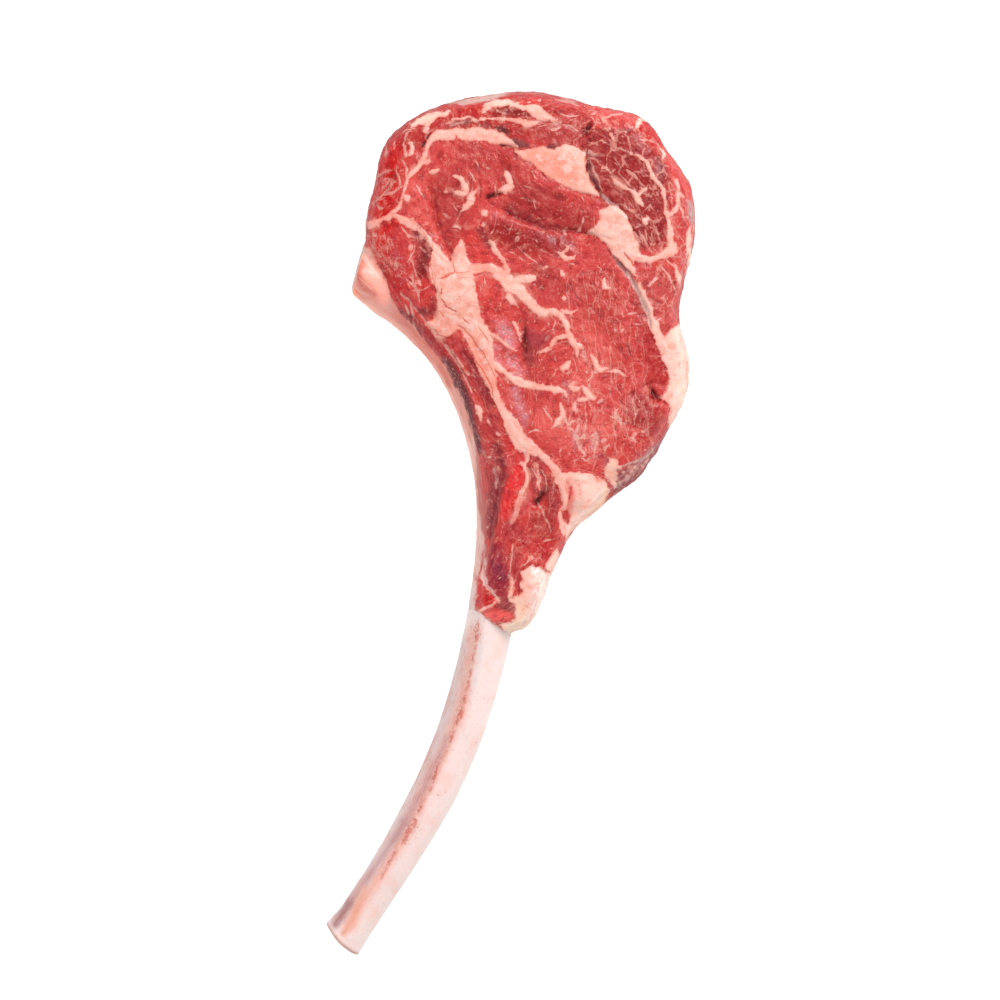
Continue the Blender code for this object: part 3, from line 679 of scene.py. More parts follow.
# ---- The fat ----
# Soft pale fat between the muscles and along the outer edge, salmon where it is thin or bloody and cream
# where it is thick. Seams are broad areas with a smooth outline, or bands whose width changes along them:
# columns and rows of the picture, and widths in its pixels.
FAT_AREAS = {
    "centre": [
        (433, 247), (441, 256), (450, 262), (452, 254), (457, 246), (462, 241), (466, 250), (467, 259),
        (473, 266), (474, 278), (476, 290), (478, 305), (481, 318), (486, 326), (491, 334), (493, 348),
        (495, 362), (497, 375), (498, 388), (502, 399), (508, 409), (516, 419), (525, 433), (533, 443),
        (542, 450), (550, 458), (557, 467), (565, 473), (577, 471), (586, 473), (600, 478), (608, 487),
        (610, 492), (606, 499), (600, 508), (590, 516), (575, 527), (569, 536), (566, 545), (565, 530),
        (563, 515), (561, 500), (557, 485), (551, 472), (544, 462), (536, 456), (525, 454), (515, 447),
        (507, 434), (502, 420), (497, 408), (491, 394), (485, 382), (478, 369), (471, 353), (466, 340),
        (460, 331), (448, 337), (440, 340), (432, 332), (425, 323), (433, 320), (437, 312), (437, 300),
        (434, 287), (430, 275), (431, 262),
    ],
    "upper_kernel": [
        (514, 152), (530, 150), (540, 147), (550, 151), (562, 147), (570, 147), (583, 153), (585, 160),
        (586, 170), (590, 183), (600, 197), (590, 195), (578, 193), (565, 187), (553, 180), (542, 174),
        (530, 164), (520, 158),
    ],
    "lower_kernel": [
        (587, 234), (595, 226), (600, 219), (600, 212), (606, 209), (612, 205), (620, 209), (626, 216),
        (630, 225), (634, 235), (638, 245), (641, 254), (648, 257), (656, 255), (664, 249), (668, 240),
        (674, 241), (676, 249), (677, 253), (671, 258), (660, 261), (648, 264), (638, 263), (632, 263),
        (636, 278), (628, 271), (620, 262), (612, 255), (606, 246), (597, 238),
    ],
    "outer": [
        (640, 283), (648, 300), (655, 318), (660, 330), (665, 338), (668, 334), (675, 327), (690, 322),
        (706, 345), (708, 372), (704, 400), (694, 420), (680, 432), (671, 427), (668, 420), (670, 410),
        (665, 402), (659, 399), (664, 394), (668, 386), (667, 374), (662, 360), (656, 346), (650, 331),
        (646, 318), (641, 302), (636, 288),
    ],
    "cap_seam": [
        (430, 138), (437, 132), (446, 131), (455, 130), (480, 129), (492, 131), (501, 135), (510, 141),
        (519, 148), (518, 151), (509, 148), (500, 145), (490, 144), (480, 142), (470, 141), (462, 142),
        (456, 137), (453, 143), (446, 141), (438, 142), (429, 146),
    ],
    "tail": [
        (520, 571), (524, 569), (528, 566), (533, 564), (535, 568), (541, 567), (546, 571), (550, 570),
        (560, 560), (572, 575), (560, 610), (540, 645), (515, 650), (506, 634), (500, 624), (514, 619),
        (516, 612), (514, 602), (513, 597), (519, 595), (523, 592), (520, 584), (523, 578),
    ],
}
FAT_BANDS = [
    # the line between the cap and the eye, down the upper left
    [(429, 142, 6), (427, 150, 4), (425, 157, 4.6), (422, 163, 7), (416, 170, 6), (411, 177, 5),
        (407.5, 182, 3)],
    [(408, 181, 4), (406, 188, 2.4), (404, 196, 3), (401, 204, 4), (397, 210, 4), (392, 214, 5),
        (388, 217, 5)],
    [(424, 164, 6), (429, 163, 4)],
    # the line round the chine muscle
    [(371, 226, 8), (376, 224, 7), (382, 221, 5.6), (389, 218, 5), (397, 217, 6), (405, 220, 6),
        (413, 224, 5)],
    [(413, 224, 5), (421, 231, 4.5), (428, 238, 5), (434, 246, 6), (441, 255, 5), (448, 261, 4)],
    [(402, 222, 5), (409, 227, 4), (417, 231, 2.6)],
    # the middle branch through the eye, with its lobes and arms
    [(470, 270, 11), (485, 269, 10), (497, 272, 11), (506, 280, 14), (514, 288, 15), (521, 293, 11),
        (527, 300, 9)],
    [(527, 300, 9), (533, 308, 9), (541, 313, 8), (550, 312, 5), (558, 314, 6), (562, 319, 6), (566, 326, 6)],
    [(566, 326, 6), (569, 333, 6), (571, 340, 7), (575, 346, 7), (580, 347, 5)],
    [(518, 281, 9), (527, 279, 8), (532, 279, 7)],
    [(509, 297, 8), (514, 304, 4), (518, 308, 2.4)],
    [(561, 311, 4), (570, 313, 3), (576, 311, 2.4)],
    [(569, 336, 5), (562, 338, 4), (555, 340, 4), (551, 344, 4), (550, 349, 3), (542, 351, 2.4),
        (537, 353, 2)],
    [(576, 348, 5), (577, 354, 3.4), (578, 359, 2.4)],
    [(508, 273, 5), (504, 264, 5), (499, 256, 4.5), (495, 249, 5), (490, 243, 5)],
    # the lower branch, and the thin one above it
    [(495, 366, 7), (503, 372, 6), (512, 379, 7), (522, 384, 8), (533, 386, 6), (545, 388, 6), (556, 390, 5)],
    [(556, 390, 5), (562, 392, 4), (566, 398, 2.4)],
    [(480, 325, 4), (490, 333, 4), (500, 340, 3.6), (509, 347, 2.6), (516, 351, 2)],
    [(514, 322, 3), (518, 332, 3.4), (521, 341, 3)],
    # the loop round the cap, at the right
    [(671, 246, 8), (669, 232, 6.6), (668, 222, 5), (666, 212, 4), (664, 200, 4), (662, 190, 4.2),
        (657, 183, 4.6)],
    [(657, 183, 5), (652, 177, 5), (648, 168, 4), (645, 162, 3.4), (638, 158, 3), (630, 155, 2.4)],
    [(667, 219, 4), (673, 214, 4), (677, 206, 4.4), (678, 197, 4), (677, 188, 3.4), (677, 180, 3)],
    [(678, 194, 3), (684, 198, 2)],
    # veins of the cap, at the right
    [(602, 170, 1.6), (607, 171, 2), (611, 176, 2.6), (615, 182, 3.2), (621, 187, 3), (629, 191, 4),
        (634, 196, 5.4)],
    [(634, 196, 5.4), (638, 203, 5.4), (642, 207, 3)],
    [(636, 199, 4), (641, 194, 3), (646, 190, 2.6)],
    [(603, 121, 5), (606, 124, 3)],
    [(610, 135, 5), (613, 141, 3)],
    [(645, 221, 6), (646, 225, 5)],
    [(655, 281, 3.4), (648, 287, 3)],
    # patches of the cap, along the top
    [(413, 127, 4), (420, 123, 7), (428, 121, 9), (434, 118, 7), (439, 115, 4)],
    [(428, 121, 9), (427, 127, 6), (426, 131, 4)],
    [(441, 116, 5), (446, 116, 5), (449, 113, 3)],
    [(411, 146, 5), (412, 151, 5), (410, 156, 3)],
    [(404, 145, 2.6), (406, 151, 3), (407, 157, 2.6)],
    [(483, 113, 4), (487, 108, 7), (494, 105, 7), (503, 104, 6), (513, 106, 5), (522, 108, 5), (530, 110, 9)],
    [(530, 110, 9), (537, 112, 12), (543, 117, 9), (550, 120, 4.4), (557, 121, 2.6)],
    [(481, 120, 3), (492, 120, 2.4), (503, 121, 3), (515, 122, 4), (524, 124, 6), (530, 126, 7),
        (536, 124, 3)],
    [(453, 121, 2.4), (462, 120, 3), (471, 119, 3), (476, 122, 3)],
    [(636, 128, 4), (640, 122, 5), (643, 119, 3)],
]
# Separate flecks and slivers of fat, which taper at both ends.
FAT_FLECKS = [
    # inside the eye
    [(454, 177, 3), (460, 180, 5), (463, 185, 5), (468, 192, 6)],
    [(453, 193, 2.4), (460, 194, 4), (468, 194, 4)],
    [(477, 190, 4), (472, 197, 6), (469, 205, 6), (464, 210, 5), (460, 215, 3)],
    [(506, 174, 6), (509, 180, 5), (512, 185, 7)],
    [(513, 187, 6), (506, 190, 8), (500, 193, 4), (495, 196, 2.4)],
    [(485, 213, 5), (484, 217, 5)],
    [(482, 224, 4), (484, 227, 3)],
    [(430, 174, 2.6), (434, 173, 4), (440, 171, 2.6)],
    [(452, 228, 2.4), (457, 228, 3.4), (461, 229, 2.4)],
    [(407, 199, 6), (408, 200, 5)],
    [(447, 193, 3), (445, 193, 2.6)],
    [(558, 253, 2.4), (563, 257, 5), (569, 259, 5), (575, 256, 3)],
    [(563, 254, 3), (567, 249, 2.6), (569, 246, 2.2)],
    [(542, 269, 2.4), (547, 268, 3)],
    [(560, 272, 3), (564, 276, 5)],
    [(604, 280, 5), (604, 288, 4), (611, 289, 2.6)],
    [(564, 298, 5), (564, 300, 4)],
    [(570, 360, 4), (566, 365, 6), (561, 371, 4)],
    [(590, 356, 4), (595, 362, 5), (599, 369, 6), (607, 369, 4)],
    [(601, 372, 3), (612, 372, 2.4), (622, 374, 4), (626, 376, 2.6)],
    [(582, 387, 5), (587, 393, 6), (594, 399, 5)],
    [(587, 399, 5), (581, 400, 5), (575, 401, 3)],
    [(569, 386, 4), (574, 389, 5), (580, 388, 3)],
    [(570, 385, 3), (576, 382, 2.4)],
    [(560, 404, 3), (562, 411, 4), (560, 418, 4), (555, 425, 5), (551, 428, 3)],
    [(575, 402, 3), (574, 408, 3), (576, 413, 2)],
    # fat in the lean beside the rib and in the tail
    [(476, 405, 4), (480, 413, 5), (481, 420, 3)],
    [(515, 465, 2.4), (522, 464, 4), (527, 470, 4.4), (528, 478, 4), (525, 488, 4), (521, 497, 5.4),
        (518, 506, 7), (515, 515, 8), (512, 524, 6)],
    [(524, 450, 6), (527, 459, 4), (524, 466, 3)],
    [(537, 470, 1.6), (539, 478, 2.2), (539, 487, 1.6)],
    [(487, 556, 2.4), (484, 566, 4), (483, 577, 5), (488, 587, 4), (494, 594, 3), (499, 602, 2.4)],
    [(556, 550, 6), (553, 560, 8), (548, 570, 7)],
    [(530, 557, 5), (532, 557, 4)],
    [(478, 611, 3), (484, 609, 3.6), (490, 606, 3), (498, 600, 2)],
    [(511, 575, 3), (512, 590, 4), (509, 599, 4), (517, 603, 5), (520, 600, 5)],
    [(551, 556, 4), (557, 556, 5), (562, 552, 5)],
    [(560, 510, 6), (562, 522, 6), (565, 536, 5)],
    # the right edge of the cap
    [(690, 227, 3), (688, 235, 5), (687, 243, 4.4), (688, 250, 4), (689, 258, 5.4), (688, 268, 5.4),
        (686, 277, 4)],
    [(674, 264, 2.4), (677, 275, 4), (680, 288, 3)],
    [(659, 149, 3), (663, 155, 4), (661, 161, 2.4)],
    # crumbs in the torn corner
    [(609, 458, 4), (613, 464, 9), (610, 471, 11), (612, 479, 9), (616, 487, 6)],
    [(616, 466, 4), (620, 468, 5)],
    [(622, 471, 3), (624, 473, 4)],
    [(625, 478, 3), (628, 476, 4)],
    [(629, 471, 3), (632, 472, 4)],
    [(634, 468, 3), (637, 469, 4)],
    [(640, 465, 3), (642, 465, 4)],
    [(645, 461, 3), (647, 463, 4)],
    [(619, 484, 3), (621, 482, 4)],
]
# Red lean that shows through the fat: bands that take fat away.
LEAN_GAPS = [
    [(566, 511, 4), (566, 517, 6), (567, 523, 4)],
    [(571, 487, 2), (570, 494, 2.4), (569, 500, 2)],
    [(578, 466, 3), (582, 472, 3)],
    [(593, 474, 2.4), (597, 478, 3)],
]


def area(spots, points):
    """How far inside a closed outline each plan point is, in mm."""
    line = curve_through(points, BAND_STEP, closed=True)[:-1]
    near, _, _, found = nearest(spots, line, BAND_REACH, closed=True)
    a, b = line[:, :2], np.roll(line[:, :2], -1, axis=0)
    px, py = spots[near].T
    within = np.zeros(len(near), bool)
    for (ax, ay), (bx, by) in zip(a, b):
        crosses = (ay > py) != (by > py)
        at = ax + (py - ay) / (by - ay if by != ay else 1e-9) * (bx - ax)
        within ^= crosses & (px < at)
    inside = np.full(len(spots), -FAR)
    inside[near] = np.where(within, found, -found)
    return inside


fat = np.full(len(flat), -FAR)
for outline in FAT_AREAS.values():
    fat = np.maximum(fat, area(flat, outline))
for line in FAT_BANDS:
    fat = np.maximum(fat, band(flat, line))
for line in FAT_FLECKS:
    fat = np.maximum(fat, band(flat, line, taper=True))
for line in LEAN_GAPS:
    fat = np.minimum(fat, -band(flat, line, taper=True))

# ---- The run of the fibres ----
# Which way the bundles of fibre lie in the cut face, at a few places: column, row and degrees. Between them
# the direction turns. Films are combed along the rib on its flank, and up and down on the outer sides.
GRAIN = [
    (610, 340, 96), (590, 420, 98), (560, 300, 100), (500, 300, 80), (545, 240, 150), (480, 250, 135),
    (440, 170, 55), (415, 215, 100), (450, 215, 70), (500, 180, 150), (550, 205, 160), (620, 170, 130),
    (650, 220, 110), (520, 120, 175), (400, 160, 75), (390, 190, 60), (400, 260, 120), (425, 300, 110),
    (450, 360, 125), (480, 420, 108), (500, 500, 95), (540, 480, 80), (545, 530, 60), (500, 570, 85),
    (490, 605, 20), (665, 300, 80), (650, 410, 60), (480, 128, 178), (425, 125, 35),
]
GRAIN_SPREAD = 17.0  # mm
GRAIN_SHIFT = (31, 17)  # keeps the pattern of one place apart from the next one's
weights, runs, widths = [], [], []
for column, row, degrees in GRAIN:
    cx, cy = plan(column, row)
    c, s = math.cos(math.radians(degrees)), math.sin(math.radians(degrees))
    gap_x, gap_y = flat[:, 0] - cx, flat[:, 1] - cy
    weights.append(np.exp(-(gap_x**2 + gap_y**2) / GRAIN_SPREAD**2) + 1e-9)
    runs.append(c * gap_x + s * gap_y + GRAIN_SHIFT[0] * c)
    widths.append(-s * gap_x + c * gap_y + GRAIN_SHIFT[1] * s)
weights = np.array(weights) / np.sum(weights, axis=0)
lengthwise = (weights * runs).sum(axis=0)
across = (weights * widths).sum(axis=0)

COMB_STEP = 2.0  # mm
FLANK_REACH = 14  # mm from the rib's middle
SIDE_MIDDLE, SIDE_RADIUS = (5, 30), 70  # a circle in plan that the outer sides roughly follow, in mm
in_plan = np.stack([x, y], axis=1)
rib_line = curve_through(RIB_LINE, COMB_STEP)
to_rib = np.full(len(flat), FAR * 4)
along_rib = np.zeros(len(flat))
for index, (start, end) in enumerate(zip(rib_line[:-1, :2], rib_line[1:, :2])):
    way = (end - start) / np.linalg.norm(end - start)
    ahead_of = (in_plan - start) @ way
    miss = np.hypot(*(in_plan - start - np.clip(ahead_of, 0, COMB_STEP)[:, None] * way).T)
    along_rib = np.where(miss < to_rib, index * COMB_STEP + ahead_of, along_rib)
    to_rib = np.minimum(to_rib, miss)
rib_comb = [z + 1.4 * to_rib, along_rib + 0.5 * rolling(x, y, z, 6, 2.2, 1), to_rib * 0]
side_turn = np.arctan2(y - SIDE_MIDDLE[1], x - SIDE_MIDDLE[0]) * SIDE_RADIUS
side_comb = [side_turn + 0.5 * rolling(x, y, z, 8, 3.3, 1), 0.8 * z, z * 0]
beside_rib = (to_rib < FLANK_REACH)[:, None]
comb = np.where(beside_rib, np.stack(rib_comb, axis=1), np.stack(side_comb, axis=1))

# ---- Hairline fat ----
# Threads of fat under a millimetre thick, and the thin walls between bundles of fibre. Their offset is kept
# with its sign, so that they stay crisp between two points of the mesh.
THREADS = [
    [(418, 188, 1.6), (423, 197, 2.2), (424, 198, 1.6)],
    [(415, 224, 1.6), (421, 234, 1.6)],
    [(404, 230, 1.4), (409, 238, 1.8)],
    [(470, 173, 1.4), (474, 180, 1.8)],
    [(475, 163, 1.6), (479, 169, 2.0)],
    [(495, 187, 1.4), (496, 195, 2.0)],
    [(518, 249, 1.4), (527, 257, 2.0), (536, 264, 1.6)],
    [(505, 228, 1.2), (509, 231, 2.0), (512, 227, 1.6)],
    [(532, 174, 1.4), (535, 178, 2.2)],
    [(552, 168, 1.2), (556, 171, 1.8)],
    [(533, 203, 1.4), (535, 209, 1.8)],
    [(582, 352, 1.4), (585, 360, 1.8), (592, 372, 1.4), (588, 381, 1.4)],
    [(555, 322, 1.4), (552, 330, 1.4)],
    [(617, 410, 2.0), (615, 415, 3.2), (619, 420, 4.2), (622, 424, 3.2), (627, 421, 1.8)],
    [(563, 417, 2.0), (568, 424, 3.2), (572, 422, 2.8), (575, 421, 1.6)],
    [(568, 424, 3.0), (570, 429, 1.6)],
    [(573, 436, 2.2), (577, 440, 3.6), (580, 448, 3.8), (584, 455, 2.4)],
    [(577, 440, 2.6), (582, 437, 2.6), (584, 433, 1.4)],
    [(604, 455, 1.6), (606, 448, 2.6), (609, 446, 2.0)],
    [(583, 459, 1.4), (587, 461, 2.0), (589, 458, 1.4)],
    [(636, 433, 2.4), (632, 437, 4.6), (635, 441, 2.4)],
    [(585, 404, 1.4), (586, 418, 1.8), (585, 432, 2.0), (583, 441, 1.4)],
    [(632, 400, 1.6), (635, 412, 1.8), (634, 424, 1.4)],
    [(572, 430, 2.4), (576, 436, 2.4), (580, 444, 2.8), (579, 449, 2.0)],
    [(590, 436, 2.0), (595, 434, 2.6), (597, 442, 2.2), (594, 451, 2.2)],
    [(530, 433, 1.6), (535, 430, 2.0), (539, 431, 1.4)],
    [(545, 409, 1.8), (549, 415, 2.2), (551, 421, 1.6)],
    [(614, 160, 1.4), (620, 167, 1.6), (619, 175, 1.6), (625, 182, 1.6), (630, 187, 1.6)],
    [(590, 163, 1.4), (592, 167, 1.8), (594, 172, 2.2), (598, 180, 2.2), (601, 190, 1.8)],
    [(641, 160, 1.4), (650, 161, 1.8), (652, 165, 1.8), (650, 168, 1.6)],
    [(679, 206, 1.8), (682, 214, 2.6), (683, 222, 2.8)],
    [(640, 182, 1.8), (642, 185, 2.6), (644, 187, 1.8)],
    [(640, 141, 1.6), (650, 142, 1.8), (658, 146, 2.0)],
    [(604, 120, 1.8), (612, 117, 1.8), (622, 114, 1.6)],
    [(601, 143, 1.4), (612, 147, 1.8), (622, 151, 2.0), (630, 155, 2.2)],
    [(636, 229, 2.2), (645, 227, 1.8), (653, 230, 2.0), (658, 236, 1.4)],
    [(639, 233, 1.6), (641, 243, 1.6)],
    [(645, 232, 1.6), (646, 246, 1.6)],
    [(651, 233, 1.6), (652, 244, 1.4)],
    [(643, 214, 1.4), (650, 206, 1.8)],
    [(625, 205, 1.4), (631, 213, 1.8), (640, 220, 1.6)],
    [(661, 268, 1.6), (668, 276, 2.0), (675, 292, 2.0)],
    [(668, 262, 1.6), (676, 270, 1.8), (681, 280, 1.6)],
    [(575, 142, 1.4), (580, 138, 1.8), (584, 134, 1.4)],
    [(540, 128, 1.6), (552, 126, 2.0), (566, 127, 1.8), (578, 132, 1.6)],
    [(560, 114, 1.4), (568, 117, 1.8), (578, 116, 1.4)],
    [(590, 111, 1.6), (595, 113, 2.2), (592, 116, 1.6)],
    [(404, 134, 1.4), (408, 131, 1.6), (414, 130, 1.4)],
    [(520, 123, 3.4), (527, 127, 3.6), (534, 124, 2.6), (546, 122, 2.2), (560, 124, 1.8)],
    [(556, 101, 1.6), (566, 102, 3.0), (572, 104, 3.2), (578, 107, 1.8)],
    [(448, 124, 2.0), (456, 122, 2.6), (468, 119, 2.6), (476, 121, 2.0)],
    [(452, 127, 1.8), (462, 124, 2.2), (472, 122, 2.0)],
    [(493, 107, 1.8), (499, 112, 2.2), (505, 115, 1.6)],
    [(382, 197, 1.6), (387, 193, 2.6), (391, 188, 3.0), (393, 182, 3.2)],
    [(397, 169, 1.4), (397, 175, 1.8), (400, 179, 2.2), (400, 186, 2.4), (396, 192, 2.2), (388, 195, 1.6)],
    [(379, 178, 1.6), (385, 173, 2.4), (391, 171, 2.0)],
    [(383, 190, 1.6), (386, 187, 2.0), (389, 183, 1.6)],
    [(376, 203, 1.6), (383, 197, 2.0), (394, 194, 2.2), (402, 187, 1.8)],
    [(378, 207, 1.8), (380, 210, 2.6), (383, 209, 2.0)],
    [(404, 163, 2.0), (407, 170, 2.4), (407, 180, 2.0)],
    [(410, 132, 1.6), (406, 137, 2.2), (405, 143, 2.2)],
    [(385, 150, 2.4), (386, 154, 4.6), (385, 157, 2.4)],
    [(402, 295, 3.0), (409, 301, 2.2), (415, 308, 1.8), (422, 317, 1.8), (430, 328, 2.0), (437, 337, 2.2)],
    [(437, 337, 2.2), (448, 350, 1.8), (458, 364, 2.2), (466, 380, 2.4), (471, 392, 1.6)],
    [(446, 345, 2.2), (455, 355, 2.4), (462, 366, 1.8)],
    [(538, 503, 2.4), (543, 513, 2.4), (548, 523, 2.2), (550, 531, 1.6)],
    [(533, 470, 1.6), (538, 480, 2.2), (540, 492, 1.8)],
    [(541, 470, 1.4), (546, 480, 1.6), (545, 490, 1.4)],
    [(508, 575, 2.0), (511, 586, 2.4)],
    [(513, 545, 1.6), (512, 560, 1.6), (510, 572, 1.8)],
    [(524, 565, 1.6), (530, 558, 1.8)],
    [(545, 541, 2.4), (550, 540, 1.8)],
    [(415, 248, 1.2), (412, 256, 1.6), (408, 262, 1.4)],
    [(411, 258, 1.2), (416, 270, 1.6), (416, 284, 1.4)],
    [(407, 280, 1.4), (414, 287, 2.2), (418, 294, 2.8), (420, 301, 1.6)],
    [(413, 286, 1.2), (420, 290, 1.6), (428, 288, 1.4)],
    [(418, 280, 2.6), (420, 284, 3.2)],
    [(421, 249, 2.4), (424, 252, 3.4)],
    [(396, 262, 3.0), (397, 268, 3.6)],
    [(404, 231, 1.2), (407, 235, 1.8), (413, 238, 1.4)],
    [(372, 267, 2.4), (380, 274, 2.4), (386, 284, 1.8), (391, 298, 1.8)],
]
THREAD_STRENGTH = 0.9
THREAD_REACH = 2.5  # mm
random = np.random.default_rng(7)
marbling = [(THREAD_STRENGTH, line) for line in THREADS]

# Upright walls in the lower half of the eye, in pixels of the picture.
WALLS, WALL_SPACING = 15, 5.8
FIRST_WALL_COLUMN, WALL_LEAN, WALL_SWAY = 566, 0.09, 1.9
WALL_TOP, WALL_BOTTOM = 262, 455
WALL_WIDTHS = [(0, 0.8), (0.2, 1.3), (0.4, 1.5), (0.6, 1.2), (0.8, 1.6), (1, 0.8)]  # share of the length
for k in range(WALLS):
    row = WALL_TOP + 24 * random.random()
    while row < WALL_BOTTOM:
        length = 26 + 34 * random.random()
        wall = []
        for share, wide in WALL_WIDTHS:
            at = row + share * length
            column = FIRST_WALL_COLUMN + WALL_SPACING * k + WALL_LEAN * (at - WALL_TOP)
            wall.append((column + WALL_SWAY * random.standard_normal(), at, wide))
        if wall[-1][0] < 655 - 0.3 * max(row - 400, 0):  # where the eye ends
            marbling.append((0.14 + 0.36 * random.random(), wall))
        row += length + 3 + 9 * random.random()

# Short strokes of marbling lie all through the lean, more or less along its fibres, and close together in a
# few places: a column, a row, a radius in pixels and how many.
STROKE_COUNT = 800
STROKE_COLUMNS, STROKE_ROWS = (345, 690), (100, 610)
STROKE_SWAY = 0.55  # radians
STROKE_HALF_LENGTH, STROKE_WIDTH = (0.5, 2.3), (1.0, 1.5)  # the least, and how much a draw can add
FINE_MARBLING = [
    (384, 250, 14, 60), (394, 268, 11, 30), (386, 180, 12, 16), (575, 430, 15, 26), (600, 440, 10, 12),
]


def stroke_at(column, row):
    """A short bowed stroke that follows the fibres at a place, as columns, rows and widths in pixels."""
    way = min(GRAIN, key=lambda place: math.hypot(place[0] - column, place[1] - row))[2]
    way = math.radians(way) + STROKE_SWAY * random.standard_normal()
    half = STROKE_HALF_LENGTH[0] + STROKE_HALF_LENGTH[1] * random.random() ** 2.5
    run, rise = math.cos(way) * half, -math.sin(way) * half
    bow = 0.35 * half * random.standard_normal()
    wide = STROKE_WIDTH[0] + STROKE_WIDTH[1] * random.random() ** 2
    return [
        (column - run, row - rise, 0.55 * wide),
        (column + bow * math.sin(way), row + bow * math.cos(way), wide),
        (column + run, row + rise, 0.55 * wide),
    ]


for _ in range(STROKE_COUNT):
    column, row = (low + (high - low) * random.random() for low, high in (STROKE_COLUMNS, STROKE_ROWS))
    line = stroke_at(column, row)
    marbling.append((0.25 + 0.6 * random.random(), line))
for column, row, radius, count in FINE_MARBLING:
    for _ in range(count):
        around, out = math.tau * random.random(), radius * math.sqrt(random.random())
        line = stroke_at(column + out * math.cos(around), row + out * math.sin(around))
        marbling.append((0.3 + 0.45 * random.random(), line))


NO_LINE = 9.0  # half widths; what has no line in reach counts as this far off
GAP_LIMIT, THINNEST = 6.0, 0.12  # mm, the widest gap that is stored and the least half width


def hairlines(lines):
    """Signed offset over half width, distance and strength of the nearest of many thin lines."""
    offset_of = np.full(len(flat), NO_LINE)
    gap_of = np.full(len(flat), FAR)
    strength_of = np.zeros(len(flat))
    edge = np.full(len(flat), -FAR)
    for strength, line in lines:
        near, offset, width, found = nearest(flat, stroke(line), THREAD_REACH)
        better = width - found > edge[near]
        chosen = near[better]
        edge[chosen] = (width - found)[better]
        offset_of[chosen] = (offset / np.maximum(width, THINNEST))[better]
        gap_of[chosen] = found[better]
        strength_of[chosen] = strength
    return offset_of, np.minimum(gap_of, GAP_LIMIT), strength_of


thread, thread_gap, thread_strength = hairlines(marbling)
